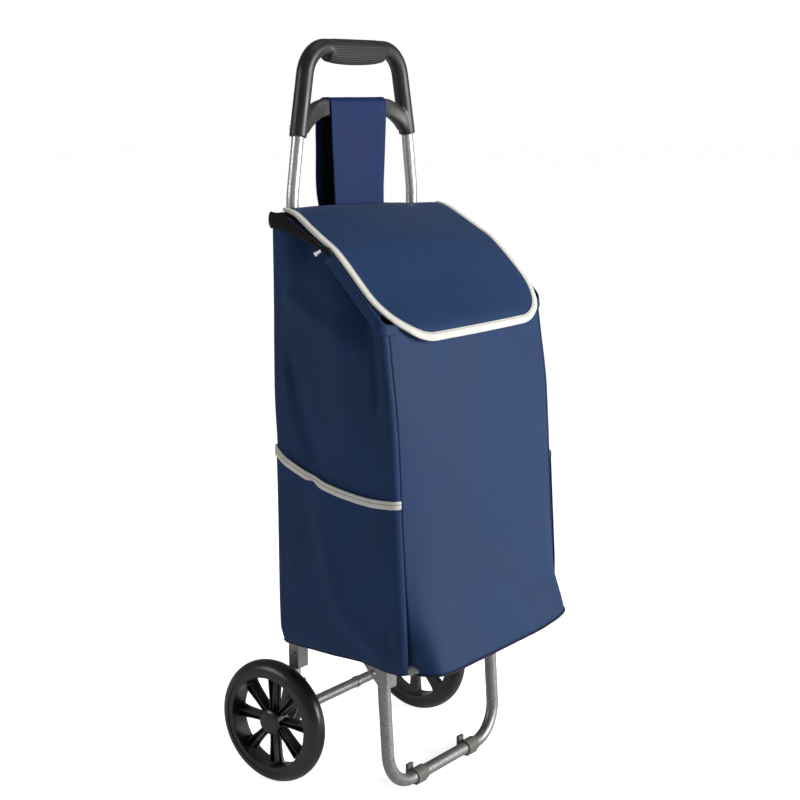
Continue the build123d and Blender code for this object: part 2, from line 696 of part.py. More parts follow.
def make_pocket_binding(side: int) -> BuildPart:
    """Tape folded over the pocket's top edge, proud of its outer face."""
    outer_x = side * (BAG_SIDE_X + POCKET_GAP + POCKET_SHEET)
    with BuildPart() as binding:
        with BuildSketch(side_plane(outer_x)):
            with BuildLine():
                top = Spline(*POCKET_TOP)
                low = Spline(*[(y, z - BINDING_WIDTH + 1) for y, z in POCKET_TOP])
                Line(top @ 0, low @ 0)
                Line(top @ 1, low @ 1)
            make_face()
        extrude(amount=side * 1.2)
    return binding


for side_name, side in SIDES.items():
    save(make_pocket(side), f"side_pocket_{side_name}")
    save(make_pocket_binding(side), f"pocket_binding_{side_name}")


# --- Flap ---------------------------------------------------------------------------------------


def flap_sheet(grow: float) -> Sketch:
    """Side view of the flap's cloth, grow thicker on both faces."""
    lift = Vector(-FLAP_THICKNESS.X, -FLAP_THICKNESS.Y).normalized() * grow
    upper = [Vector(*point) + lift for point in FLAP_PROFILE]
    lower = [Vector(*point) + FLAP_THICKNESS - lift for point in FLAP_PROFILE]
    with BuildSketch(side_plane(-FLAP_HALF_WIDTH - 10)) as sheet:
        with BuildLine():
            top = Spline(*[(p.X, p.Y) for p in upper])
            under = Spline(*[(p.X, p.Y) for p in lower])
            Line(top @ 0, under @ 0)
            Line(top @ 1, under @ 1)
        make_face()
    return sheet.sketch


def flap_plan(grow: float) -> Sketch:
    """Plan view of the flap, open at the rear, with its two front corners rounded."""
    half = FLAP_HALF_WIDTH + grow
    front_y = FLAP_PROFILE[-1][0] - 3 - grow
    corner = FLAP_CORNER_R + grow
    with BuildSketch(Plane.XY.offset(540)) as plan:
        with BuildLine():
            FilletPolyline((half, 80), (half, front_y), (-half, front_y), (-half, 80), radius=corner)
            Line((-half, 80), (half, 80))
        make_face()
    return plan.sketch


FLAP_SPAN = 2 * FLAP_HALF_WIDTH + 20

with BuildPart() as flap:
    extrude(flap_sheet(0), amount=FLAP_SPAN)
    extrude(flap_plan(0), amount=220, mode=Mode.INTERSECT)
save(flap, "flap")

with BuildPart() as flap_binding:
    extrude(flap_sheet(1), amount=FLAP_SPAN)
    extrude(flap_plan(1), amount=220, mode=Mode.INTERSECT)
    extrude(flap_plan(1 - BINDING_WIDTH), amount=220, mode=Mode.SUBTRACT)
    add(flap.part, mode=Mode.SUBTRACT)
save(flap_binding, "flap_binding")


# --- Straps and fastenings ----------------------------------------------------------------------

with BuildPart() as handle_strap:
    with BuildSketch(side_plane(-STRAP_HALF_WIDTH)):
        with BuildLine() as strap_line:
            FilletPolyline(*STRAP_ROUTE, radius=STRAP_BEND_R)
        trace(strap_line.line, STRAP_THICKNESS)
    extrude(amount=2 * STRAP_HALF_WIDTH)
save(handle_strap, "handle_strap")

with BuildPart() as rear_loops:
    for z in REAR_LOOP_HEIGHTS:
        for side in SIDES.values():
            y = upright_y(z)
            with BuildSketch(Plane.XY.offset(z - REAR_LOOP_WIDTH / 2)):
                with Locations((side * RAIL_X, y)):
                    Circle(TUBE_R + 2.3)
                with Locations((side * RAIL_X, (y + BAG_REAR_Y) / 2)):
                    Rectangle(2 * TUBE_R + 4.6, y - BAG_REAR_Y)
                with Locations((side * RAIL_X, y)):
                    Circle(TUBE_R + 0.5, mode=Mode.SUBTRACT)
            extrude(amount=REAR_LOOP_WIDTH)
save(rear_loops, "rear_loops")
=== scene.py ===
"""Looks of a folding shopping trolley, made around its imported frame.

The metal and plastic parts keep their shapes and get finishes. The bag, its flap, pockets, mouth collar and strap, and
the moulded handle are built here. Metres, +Z up, the front of the bag faces -Y and +X is on its right.
"""

import logging
import math
from dataclasses import dataclass
from enum import Enum
from typing import Any, Callable, Iterable, Sequence

import bmesh
import bpy
import numpy as np
from mathutils import Matrix, Vector, noise


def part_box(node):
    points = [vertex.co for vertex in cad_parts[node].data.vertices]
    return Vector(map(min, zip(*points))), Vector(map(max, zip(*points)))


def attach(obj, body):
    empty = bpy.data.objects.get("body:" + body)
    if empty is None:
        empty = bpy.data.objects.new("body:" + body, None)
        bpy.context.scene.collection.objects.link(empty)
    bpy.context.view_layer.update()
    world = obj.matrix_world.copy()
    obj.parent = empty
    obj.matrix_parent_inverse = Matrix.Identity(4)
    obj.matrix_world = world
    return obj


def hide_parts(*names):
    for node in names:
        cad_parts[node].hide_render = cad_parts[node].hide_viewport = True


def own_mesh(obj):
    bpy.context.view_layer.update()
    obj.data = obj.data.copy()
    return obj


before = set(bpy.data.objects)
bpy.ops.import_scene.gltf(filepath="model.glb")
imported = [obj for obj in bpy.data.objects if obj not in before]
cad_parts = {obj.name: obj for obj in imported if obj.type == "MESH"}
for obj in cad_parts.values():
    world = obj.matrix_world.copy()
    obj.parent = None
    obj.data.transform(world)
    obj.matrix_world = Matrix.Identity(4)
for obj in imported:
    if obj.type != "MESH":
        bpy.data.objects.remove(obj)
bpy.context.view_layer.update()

LOG = logging.getLogger("trolley")
SIDES = {"left": -1, "right": 1}
MM = 0.001


# --- Numbers and curves -------------------------------------------------------------------------


def smoothstep(low: float, high: float, value: Any) -> Any:
    """Ease from 0 at low to 1 at high.

    Args:
        low: Value where the step begins.
        high: Value where the step ends.
        value: Number or array.

    Returns:
        The eased share, same shape as value.
    """
    t = np.clip((value - low) / (high - low), 0.0, 1.0)
    return t * t * (3.0 - 2.0 * t)


def smooth_interp(x: Any, knots: Sequence[float], values: Sequence[float]) -> np.ndarray:
    """Pass a smooth cubic through given values.

    Args:
        x: Where to read the curve.
        knots: Rising positions.
        values: Value at each position.

    Returns:
        The curve's value at x, held constant beyond the ends.
    """
    places = np.asarray(knots, float)
    levels = np.asarray(values, float)
    steps = np.diff(levels) / np.diff(places)
    tangents = np.concatenate([[steps[0]], (steps[1:] + steps[:-1]) / 2, [steps[-1]]])
    x = np.clip(x, places[0], places[-1])
    i = np.clip(np.searchsorted(places, x) - 1, 0, len(places) - 2)
    width = places[i + 1] - places[i]
    t = (x - places[i]) / width
    start = levels[i] * (2 * t**3 - 3 * t**2 + 1) + tangents[i] * width * (t**3 - 2 * t**2 + t)
    return start + levels[i + 1] * (3 * t**2 - 2 * t**3) + tangents[i + 1] * width * (t**3 - t**2)


def end_dense(count: int) -> np.ndarray:
    """Shares from 0 to 1 that lie closer together towards both ends."""
    return 0.5 - 0.5 * np.cos(np.linspace(0, math.pi, count))


class PathCurve:
    """Smooth curve through points of any dimension, read by arc length."""

    def __init__(self, points: Sequence[Sequence[float]], samples: int = 400) -> None:
        """Sample a cubic through the points and measure it."""
        places = np.asarray(points, float)
        chords = np.concatenate([[0], np.cumsum(np.linalg.norm(np.diff(places, axis=0), axis=1))])
        fine = np.linspace(0, chords[-1], samples)
        self.fine = np.stack([smooth_interp(fine, chords, places[:, k]) for k in range(places.shape[1])], axis=1)
        steps = np.linalg.norm(np.diff(self.fine, axis=0), axis=1)
        self.lengths = np.concatenate([[0], np.cumsum(steps)])
        self.length = float(self.lengths[-1])

    def at(self, s: Any) -> np.ndarray:
        """Points at arc lengths s, with the coordinates in the last axis."""
        return np.stack([np.interp(s, self.lengths, column) for column in self.fine.T], axis=-1)

    def tangent(self, s: Any) -> np.ndarray:
        """Unit directions of travel at arc lengths s."""
        step = 2 * MM
        ahead = self.at(np.clip(np.asarray(s) + step, 0, self.length))
        behind = self.at(np.clip(np.asarray(s) - step, 0, self.length))
        return unit(ahead - behind)


def unit(vectors: np.ndarray) -> np.ndarray:
    """Vectors of length 1 along the last axis."""
    return vectors / np.maximum(np.linalg.norm(vectors, axis=-1, keepdims=True), 1e-12)


def soft_noise(points: np.ndarray, scale: float) -> np.ndarray:
    """Smooth noise between about -1 and 1.

    Args:
        points: Array whose last axis holds x, y and z.
        scale: Size of one bump, in metres.

    Returns:
        One value for each point.
    """
    flat = points.reshape(-1, 3) / scale
    return np.array([noise.noise(Vector(p)) for p in flat]).reshape(points.shape[:-1])


# --- Meshes -------------------------------------------------------------------------------------


def link(name: str, mesh: bpy.types.Mesh) -> bpy.types.Object:
    """Put a mesh in the scene as an object with smooth shading."""
    mesh.polygons.foreach_set("use_smooth", [True] * len(mesh.polygons))
    piece = bpy.data.objects.new(name, mesh)
    bpy.context.scene.collection.objects.link(piece)
    return piece


def grid_object(
    name: str,
    points: np.ndarray,
    uv: np.ndarray,
    closed: bool = False,
    caps: bool = False,
) -> bpy.types.Object:
    """Build a sheet or a tube of quads from a grid of points.

    Args:
        name: Name of the piece.
        points: Rows by columns by 3, where a closed grid repeats its first column at the end.
        uv: Rows by columns by 2, in metres.
        closed: Whether the last column is the first one again.
        caps: Whether a closed grid gets a face over its first and last rows.

    Returns:
        The linked object.
    """
    rows, columns = points.shape[:2]
    width = columns - 1 if closed else columns
    vertices = points[:, :width].reshape(-1, 3)
    faces: list[tuple[int, ...]] = []
    corners: list[tuple[int, int]] = []
    for r in range(rows - 1):
        for c in range(columns - 1):
            quad = ((r, c), (r, c + 1), (r + 1, c + 1), (r + 1, c))
            faces.append(tuple(i * width + j % width for i, j in quad))
            corners.extend(quad)
    if closed and caps:
        for r, order in ((0, range(width - 1, -1, -1)), (rows - 1, range(width))):
            faces.append(tuple(r * width + c for c in order))
            corners.extend((r, c) for c in order)
    mesh = bpy.data.meshes.new(name)
    mesh.from_pydata(vertices.tolist(), [], faces)
    layer = mesh.uv_layers.new(name="cloth")
    picked = np.array(corners)
    layer.data.foreach_set("uv", uv[picked[:, 0], picked[:, 1]].astype(np.float32).ravel())
    mesh.update()
    return link(name, mesh)


def measured_uv(points: np.ndarray) -> np.ndarray:
    """Lay a grid of points flat, by its distances along the middle row and the middle column."""
    across = np.linalg.norm(np.diff(points, axis=1), axis=2)
    along = np.linalg.norm(np.diff(points, axis=0), axis=2)
    u = np.concatenate([np.zeros((len(points), 1)), np.cumsum(across, axis=1)], axis=1)
    v = np.concatenate([np.zeros((1, points.shape[1])), np.cumsum(along, axis=0)], axis=0)
    return np.stack([np.broadcast_to(u[len(u) // 2], u.shape), v], axis=-1)


def sweep_section(
    name: str,
    path: np.ndarray,
    inward: np.ndarray,
    outward: np.ndarray,
    section: Sequence[tuple[float, float]],
    loop: bool = False,
) -> bpy.types.Object:
    """Carry a closed section along a path, as for a tape or a rolled hem.

    Args:
        name: Name of the piece.
        path: Points of the guiding line.
        inward: Unit vector at each point for the section's first coordinate.
        outward: Unit vector at each point for the section's second coordinate.
        section: Corners of the section, in metres, the last one joined to the first.
        loop: Whether the path closes on itself.

    Returns:
        The linked object, whose v coordinate is the distance round the section from its first corner.
    """
    shape = np.array([*section, section[0]])
    points = path[:, None] + inward[:, None] * shape[None, :, :1] + outward[:, None] * shape[None, :, 1:]
    if loop:
        points = np.concatenate([points, points[:1]])
    run = np.concatenate([[0], np.cumsum(np.linalg.norm(np.diff(points[:, 0], axis=0), axis=1))])
    girth = np.concatenate([[0], np.cumsum(np.linalg.norm(np.diff(shape, axis=0), axis=1))])
    uv = np.stack(np.broadcast_arrays(run[:, None], girth[None, :]), axis=-1)
    piece = grid_object(name, points, uv, closed=True, caps=not loop)
    if loop:
        weld(piece)
    return piece


def tube_object(
    name: str, path: np.ndarray, radius: float | np.ndarray, sides: int = 12, loop: bool = False
) -> bpy.types.Object:
    """Build a round tube along a path.

    Args:
        name: Name of the piece.
        path: Points of the centre line.
        radius: One radius, or one for each point.
        sides: Number of faces round the tube.
        loop: Whether the path closes on itself.

    Returns:
        The linked object.
    """
    ahead = np.roll(path, -1, axis=0) if loop else np.vstack([path[1:], path[-1:]])
    behind = np.roll(path, 1, axis=0) if loop else np.vstack([path[:1], path[:-1]])
    tangents = unit(ahead - behind)
    side = np.cross(tangents[0], [0.31, 0.17, 0.93])
    first, second = [], []
    for tangent in tangents:
        side = unit(side - tangent * (side @ tangent))
        first.append(side)
        second.append(np.cross(tangent, side))
    angles = np.linspace(0, 2 * math.pi, sides + 1)
    reach = np.broadcast_to(radius, len(path))[:, None, None]
    across = np.cos(angles)[None, :, None] * np.array(first)[:, None]
    ring = across + np.sin(angles)[None, :, None] * np.array(second)[:, None]
    points = path[:, None] + reach * ring
    if loop:
        points = np.concatenate([points, points[:1]])
    run = np.concatenate([[0], np.cumsum(np.linalg.norm(np.diff(points[:, 0], axis=0), axis=1))])
    uv = np.stack(np.broadcast_arrays(run[:, None], (angles * np.mean(radius))[None, :]), axis=-1)
    piece = grid_object(name, points, uv, closed=True, caps=not loop)
    if loop:
        weld(piece)
    return piece


def weld(piece: bpy.types.Object, distance: float = 1e-5) -> None:
    """Merge a piece's vertices that lie on each other and turn its faces outwards."""
    shape = bmesh.new()
    shape.from_mesh(piece.data)
    bmesh.ops.remove_doubles(shape, verts=shape.verts, dist=distance)
    bmesh.ops.recalc_face_normals(shape, faces=shape.faces)
    shape.to_mesh(piece.data)
    shape.free()


def modify(piece: bpy.types.Object, kind: str, **settings: Any) -> bpy.types.Modifier:
    """Add one modifier with its settings."""
    made = piece.modifiers.new(kind.lower(), kind)
    for name, value in settings.items():
        setattr(made, name, value)
    return made


def bake(piece: bpy.types.Object) -> bpy.types.Object:
    """Make a piece's modifiers part of its mesh."""
    graph = bpy.context.evaluated_depsgraph_get()
    final = bpy.data.meshes.new_from_object(
        piece.evaluated_get(graph), preserve_all_data_layers=True, depsgraph=graph
    )
    raw = piece.data
    piece.modifiers.clear()
    piece.data = final
    bpy.data.meshes.remove(raw)
    return piece


def slab_object(name: str, outline: np.ndarray, thickness: float, edge: float) -> bpy.types.Object:
    """Build a flat panel with softened edges.

    Args:
        name: Name of the piece.
        outline: Points round the panel's lower face, anticlockwise from above.
        thickness: Height of the panel.
        edge: Radius of its edges.

    Returns:
        The linked object.
    """
    shape = bmesh.new()
    lower = [shape.verts.new(p) for p in outline]
    floor_face = shape.faces.new(lower[::-1])
    raised = bmesh.ops.extrude_face_region(shape, geom=[floor_face])
    tops = [v for v in raised["geom"] if isinstance(v, bmesh.types.BMVert)]
    bmesh.ops.translate(shape, vec=(0, 0, thickness), verts=tops)
    bmesh.ops.recalc_face_normals(shape, faces=shape.faces)
    sharp = [e for e in shape.edges if e.calc_face_angle(0) > 1.0]
    bmesh.ops.bevel(shape, geom=sharp, offset=edge, segments=3, affect="EDGES", profile=0.5)
    mesh = bpy.data.meshes.new(name)
    shape.to_mesh(mesh)
    layer = shape.loops.layers.uv.new("cloth")
    for face in shape.faces:
        for corner in face.loops:
            corner[layer].uv = corner.vert.co.xy
    shape.to_mesh(mesh)
    shape.free()
    return link(name, mesh)


# --- Finishes -----------------------------------------------------------------------------------


class ShaderGraph:
    """Node graph of one material, with short calls to add nodes and join them."""

    def __init__(self, name: str) -> None:
        """Start a material from the principled shader."""
        self.material = bpy.data.materials.new(name)
        self.material.use_nodes = True
        self.tree = self.material.node_tree
        self.shader = self.tree.nodes["Principled BSDF"]

    def feed(self, socket: bpy.types.NodeSocket, value: Any) -> None:
        """Link a socket to another, or set its own value."""
        if isinstance(value, bpy.types.NodeSocket):
            self.tree.links.new(value, socket)
        else:
            socket.default_value = value

    def node(self, kind: str, inputs: dict[Any, Any] | None = None, **settings: Any) -> bpy.types.Node:
        """Add a node.

        Args:
            kind: Node type, without its ShaderNode prefix.
            inputs: Values or sockets for its inputs, by name or number.
            settings: The node's own properties.

        Returns:
            The new node.
        """
        made = self.tree.nodes.new("ShaderNode" + kind)
        for name, value in settings.items():
            setattr(made, name, value)
        for key, value in (inputs or {}).items():
            self.feed(made.inputs[key], value)
        return made

    def maths(self, operation: str, first: Any, second: Any = 0.0, third: Any = 0.0) -> bpy.types.NodeSocket:
        """Result of one arithmetic step."""
        return self.node("Math", {0: first, 1: second, 2: third}, operation=operation).outputs[0]

    def object_space(self) -> bpy.types.NodeSocket:
        """Coordinates in metres, fixed to the piece."""
        return self.node("TexCoord").outputs["Object"]

    def uv_parts(self) -> tuple[bpy.types.NodeSocket, bpy.types.NodeSocket]:
        """The two coordinates of the flat cloth, in metres."""
        parts = self.node("SeparateXYZ", {0: self.node("TexCoord").outputs["UV"]})
        return parts.outputs[0], parts.outputs[1]

    def noise(self, scale: float, detail: float = 2.0, roughness: float = 0.5) -> bpy.types.NodeSocket:
        """Soft noise over the piece, with scale bumps to a metre."""
        inputs = {"Vector": self.object_space(), "Scale": scale, "Detail": detail, "Roughness": roughness}
        return self.node("TexNoise", inputs).outputs["Fac"]

    def spread(
        self, value: Any, low: float, high: float, to_low: float, to_high: float
    ) -> bpy.types.NodeSocket:
        """Value carried from one range to another, held at its ends."""
        inputs = {"Value": value, "From Min": low, "From Max": high, "To Min": to_low, "To Max": to_high}
        return self.node("MapRange", inputs).outputs[0]

    def blend(self, share: Any, first: Any, second: Any) -> bpy.types.NodeSocket:
        """Colour between two others."""
        made = self.node("Mix", data_type="RGBA")
        self.feed(made.inputs[0], share)
        self.feed(made.inputs[6], first)
        self.feed(made.inputs[7], second)
        return made.outputs[2]

    def bump(self, height: Any, depth: float, strength: float, below: Any = None) -> bpy.types.NodeSocket:
        """Surface relief.

        Args:
            height: Socket that runs from 0 to 1.
            depth: Height of the relief in metres.
            strength: Share of it that shows.
            below: Normal of a relief that this one lies on.

        Returns:
            The normal to feed to the shader.
        """
        inputs = {"Height": height, "Distance": depth, "Strength": strength}
        if below is not None:
            inputs["Normal"] = below
        return self.node("Bump", inputs).outputs[0]

    def surface(self, **values: Any) -> bpy.types.Material:
        """Feed the principled shader, with underscores for the spaces in its socket names."""
        for name, value in values.items():
            self.feed(self.shader.inputs[name.replace("_", " ")], value)
        return self.material


Colour = tuple[float, float, float, float]


def tint(red: float, green: float, blue: float) -> Colour:
    """Linear colour from display values between 0 and 1."""
    return (*(((v + 0.055) / 1.055) ** 2.4 if v > 0.04045 else v / 12.92 for v in (red, green, blue)), 1.0)


def darker(colour: Colour, share: float) -> Colour:
    """Colour with its light scaled by a share."""
    return (colour[0] * share, colour[1] * share, colour[2] * share, 1.0)


def plain_weave(graph: ShaderGraph, pitch: float) -> bpy.types.NodeSocket:
    """Relief of a plain weave, one thread over and one under.

    Args:
        graph: Graph to build in.
        pitch: Distance between threads, in metres.

    Returns:
        Height from 0 to 1.
    """
    u, v = graph.uv_parts()
    turn = math.pi / pitch
    across = graph.maths("SINE", graph.maths("MULTIPLY", u, turn))
    along = graph.maths("SINE", graph.maths("MULTIPLY", v, turn))
    over = graph.maths("GREATER_THAN", graph.maths("MULTIPLY", across, along), 0.0)
    warp = graph.maths("ABSOLUTE", across)
    weft = graph.maths("ABSOLUTE", along)
    return graph.maths("MULTIPLY_ADD", over, graph.maths("SUBTRACT", warp, weft), weft)


@dataclass(frozen=True)
class CoatedCloth:
    """Woven polyester with a thin coat: a fine weave with painted shade in its gaps, soft creases and uneven dye."""

    name: str
    colour: Colour
    pitch: float = 0.9 * MM
    roughness: float = 0.62
    sheen: float = 0.25
    crease: float = 0.9 * MM
    stitch_at: float = 0.0

    def make(self) -> bpy.types.Material:
        """Build the material."""
        graph = ShaderGraph(self.name)
        weave = plain_weave(graph, self.pitch)
        cloud = graph.noise(9.0, 3.0)
        slub = graph.noise(420.0, 2.0)
        patches = graph.spread(cloud, 0.3, 0.7, 0.0, 1.0)
        dye = graph.blend(patches, darker(self.colour, 0.86), darker(self.colour, 1.12))
        shade = graph.blend(graph.spread(slub, 0.35, 0.65, 0.0, 0.35), dye, darker(self.colour, 0.7))
        # Painted shade in the gaps of the weave.
        gap_shade = graph.spread(weave, 0.0, 0.5, 0.75, 0.0)
        shade = graph.blend(gap_shade, shade, darker(self.colour, 0.55))
        folds = graph.bump(graph.noise(26.0, 3.0), self.crease, 0.5)
        relief = graph.bump(weave, 0.12 * MM, 0.35, folds)
        if self.stitch_at:
            stitches = stitch_row(graph, self.stitch_at)
            shade = graph.blend(stitches, shade, darker(self.colour, 2.2))
            relief = graph.bump(stitches, 0.4 * MM, 0.8, relief)
        rough = graph.spread(cloud, 0.2, 0.8, self.roughness - 0.06, self.roughness + 0.06)
        return graph.surface(
            Base_Color=shade,
            Roughness=rough,
            Normal=relief,
            Specular_IOR_Level=0.16,
            Sheen_Weight=self.sheen,
            Sheen_Roughness=0.45,
            Sheen_Tint=(0.62, 0.74, 1.0, 1.0),
        )


def stitch_row(
    graph: ShaderGraph, place: float, length: float = 3.2 * MM, half: float = 0.45 * MM
) -> bpy.types.NodeSocket:
    """Dashes of thread along the cloth.

    Args:
        graph: Graph to build in.
        place: Distance of the row across the cloth, in metres.
        length: Distance from one stitch to the next.
        half: Half of the thread's thickness.

    Returns:
        1 on the thread and 0 off it.
    """
    u, v = graph.uv_parts()
    step = graph.maths("FRACT", graph.maths("DIVIDE", u, length))
    on_dash = graph.maths("LESS_THAN", step, 0.72)
    near = graph.maths("LESS_THAN", graph.maths("ABSOLUTE", graph.maths("SUBTRACT", v, place)), half)
    return graph.maths("MULTIPLY", on_dash, near)


@dataclass(frozen=True)
class RibbedTape:
    """Light woven binding tape: cross ribs with painted shade in their troughs, a sewn groove with painted shade and
    its thread, and handling marks.
    """

    name: str
    colour: Colour
    thread: Colour
    stitch_at: float
    rib: float = 0.8 * MM

    def make(self) -> bpy.types.Material:
        """Build the material."""
        graph = ShaderGraph(self.name)
        u, v = graph.uv_parts()
        ribs = graph.maths("ABSOLUTE", graph.maths("SINE", graph.maths("MULTIPLY", u, math.pi / self.rib)))
        soil = graph.spread(graph.noise(60.0, 3.0), 0.35, 0.75, 0.0, 0.5)
        shade = graph.blend(soil, self.colour, darker(self.colour, 0.72))
        # Painted shade in the troughs between the ribs.
        shade = graph.blend(graph.spread(ribs, 0.0, 0.5, 0.35, 0.0), shade, darker(self.colour, 0.5))
        offset = graph.maths("ABSOLUTE", graph.maths("SUBTRACT", v, self.stitch_at))
        groove = graph.spread(offset, 0.3 * MM, 1.1 * MM, 1.0, 0.0)
        stitches = stitch_row(graph, self.stitch_at, half=0.35 * MM)
        # Painted shade along the sewn groove.
        shade = graph.blend(graph.maths("MULTIPLY", groove, 0.55), shade, darker(self.colour, 0.35))
        shade = graph.blend(stitches, shade, self.thread)
        relief = graph.bump(ribs, 0.15 * MM, 0.5)
        relief = graph.bump(graph.maths("SUBTRACT", 1.0, groove), 0.5 * MM, 0.9, relief)
        return graph.surface(
            Base_Color=shade,
            Roughness=0.7,
            Normal=relief,
            Specular_IOR_Level=0.3,
            Sheen_Weight=0.15,
            Sheen_Roughness=0.5,
        )


@dataclass(frozen=True)
class MouldedPlastic:
    """Injection-moulded plastic with a fine spark-eroded grain and rubbed patches."""

    name: str
    colour: Colour
    roughness: float = 0.42
    grain: float = 900.0
    relief: float = 0.06 * MM
    specular: float = 0.4
    coat: float = 0.0

    def make(self) -> bpy.types.Material:
        """Build the material."""
        graph = ShaderGraph(self.name)
        grain = graph.noise(self.grain, 2.0)
        patches = graph.noise(22.0, 4.0, 0.6)
        shade = graph.blend(graph.spread(patches, 0.3, 0.7, 0.0, 1.0), self.colour, darker(self.colour, 1.35))
        low, high = self.roughness - 0.07, self.roughness + 0.09
        return graph.surface(
            Base_Color=shade,
            Roughness=graph.spread(patches, 0.3, 0.7, low, high),
            Normal=graph.bump(grain, self.relief, 0.6),
            Specular_IOR_Level=self.specular,
            Coat_Weight=self.coat,
            Coat_Roughness=0.18,
        )


@dataclass(frozen=True)
class HammerPaint:
    """Hammered metallic paint: small cells of light and dark with raised rims."""

    name: str
    light: Colour
    dark: Colour
    roughness: float
    cells: float = 520.0
    metallic: float = 0.75

    def make(self) -> bpy.types.Material:
        """Build the material."""
        graph = ShaderGraph(self.name)
        inputs = {"Vector": graph.object_space(), "Scale": self.cells, "Randomness": 1.0}
        cells = graph.node("TexVoronoi", inputs, feature="SMOOTH_F1").outputs["Distance"]
        flakes = graph.noise(self.cells * 2.1, 3.0, 0.7)
        mixed = graph.maths("MULTIPLY_ADD", cells, 0.9, graph.maths("MULTIPLY", flakes, 0.6))
        shade = graph.blend(graph.spread(mixed, 0.35, 0.95, 0.0, 1.0), self.light, self.dark)
        dust = graph.noise(34.0, 3.0)
        rough = graph.spread(dust, 0.3, 0.7, self.roughness - 0.06, self.roughness + 0.1)
        return graph.surface(
            Base_Color=shade,
            Metallic=self.metallic,
            Roughness=rough,
            Normal=graph.bump(mixed, 0.12 * MM, 0.55),
        )


@dataclass(frozen=True)
class BareSteel:
    """Zinc-plated or polished steel with faint drawing marks."""

    name: str
    colour: Colour
    roughness: float = 0.3

    def make(self) -> bpy.types.Material:
        """Build the material."""
        graph = ShaderGraph(self.name)
        marks = graph.noise(160.0, 4.0, 0.65)
        shade = graph.blend(graph.spread(marks, 0.3, 0.7, 0.0, 1.0), darker(self.colour, 0.75), self.colour)
        return graph.surface(
            Base_Color=shade,
            Metallic=1.0,
            Roughness=graph.spread(marks, 0.3, 0.7, self.roughness, self.roughness + 0.14),
            Normal=graph.bump(marks, 0.05 * MM, 0.4),
        )


@dataclass(frozen=True)
class SolidRubber:
    """Dense rubber, shiny where it is rubbed and dusty where it is not."""

    name: str
    colour: Colour
    roughness: float = 0.36

    def make(self) -> bpy.types.Material:
        """Build the material."""
        graph = ShaderGraph(self.name)
        dust = graph.noise(48.0, 4.0, 0.62)
        pores = graph.noise(1400.0, 1.0)
        shade = graph.blend(graph.spread(dust, 0.4, 0.8, 0.0, 0.5), self.colour, darker(self.colour, 2.4))
        return graph.surface(
            Base_Color=shade,
            Roughness=graph.spread(dust, 0.3, 0.75, self.roughness, self.roughness + 0.2),
            Normal=graph.bump(pores, 0.04 * MM, 0.5),
            Specular_IOR_Level=0.5,
        )


class Finish(Enum):
    """Every finish on the trolley, with the recipe that makes it."""

    NAVY = CoatedCloth("navy_cloth", tint(0.075, 0.180, 0.325), sheen=0.06)
    NAVY_STRAP = CoatedCloth("navy_strap", tint(0.010, 0.120, 0.300), sheen=0.0, stitch_at=5.0 * MM)
    # Dark navy for the hem and the rear loops; on the front corner cords it is painted shade for the seam crease.
    NAVY_DARK = CoatedCloth("navy_dark_and_seam_shade", tint(0.07, 0.085, 0.14), sheen=0.1)
    LINING = CoatedCloth("black_lining", tint(0.055, 0.055, 0.06), roughness=0.75, sheen=0.08)
    TAPE = RibbedTape("binding_tape", tint(0.83, 0.82, 0.79), tint(0.6, 0.6, 0.58), 2.4 * MM)
    POCKET_TAPE = RibbedTape("pocket_tape", tint(0.76, 0.755, 0.73), tint(0.55, 0.55, 0.53), 6.6 * MM)
    HANDLE = MouldedPlastic("handle_moulding", tint(0.105, 0.105, 0.11), roughness=0.4)
    GRIP = MouldedPlastic("grip_rubber", tint(0.085, 0.085, 0.088), roughness=0.55, relief=0.12 * MM)
    RIM = MouldedPlastic("rim_moulding", tint(0.085, 0.085, 0.09), roughness=0.36, specular=0.5)
    CAP = MouldedPlastic("hub_cap_moulding", tint(0.10, 0.10, 0.105), roughness=0.28, specular=0.5)
    CLIP = MouldedPlastic("foot_clip_moulding", tint(0.33, 0.33, 0.315), roughness=0.5)
    BUSH = MouldedPlastic("bush_nylon", tint(0.55, 0.55, 0.53), roughness=0.5)
    STOP = MouldedPlastic("cord_end_moulding", tint(0.9, 0.9, 0.89), roughness=0.4)
    CORD = CoatedCloth("cord_braid", tint(0.85, 0.85, 0.83), pitch=1.2 * MM, roughness=0.8, sheen=0.1)
    BOARD = MouldedPlastic("base_board", tint(0.09, 0.09, 0.09), roughness=0.6, relief=0.15 * MM)
    TYRE = SolidRubber("tyre_rubber", tint(0.06, 0.06, 0.06), roughness=0.24)
    # A lighter copy of the frame's grey hammered paint for the uprights: painted light, for the highlight they catch.
    UPRIGHT_LIT_COPY = HammerPaint("frame_paint_lit_upright", tint(0.84, 0.84, 0.84), tint(0.58, 0.58, 0.59), 0.34, cells=800.0)
    GREY_TUBE = HammerPaint("base_paint", tint(0.64, 0.64, 0.635), tint(0.38, 0.38, 0.375), 0.42, cells=900.0)
    ZINC = BareSteel("zinc_steel", tint(0.80, 0.81, 0.83))


class Palette:
    """Makes each finish once and hands it out."""

    def __init__(self) -> None:
        """Start with nothing made."""
        self.made: dict[Finish, bpy.types.Material] = {}

    def material(self, finish: Finish) -> bpy.types.Material:
        """Material of a finish."""
        if finish not in self.made:
            self.made[finish] = finish.value.make()
        return self.made[finish]

    def dress(self, piece: bpy.types.Object, *finishes: Finish) -> None:
        """Give a new piece its finishes, one for each material slot."""
        piece.data.materials.clear()
        for finish in finishes:
            piece.data.materials.append(self.material(finish))

    def dress_nodes(self, finish: Finish, nodes: Iterable[str]) -> None:
        """Give carried-over parts a finish in all their material slots."""
        for name in nodes:
            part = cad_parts[name]
            for holder in part.material_slots:
                holder.material = self.material(finish)
            LOG.info("node %s: %s", name, finish.value.name)


@dataclass(frozen=True)
class Fixing:
    """How a new piece belongs to the trolley: its body, slot, the nodes it stands for, and its fold."""

    body: str
    slot: str
    nodes: tuple[str, ...] = ()
    folds: bool = False


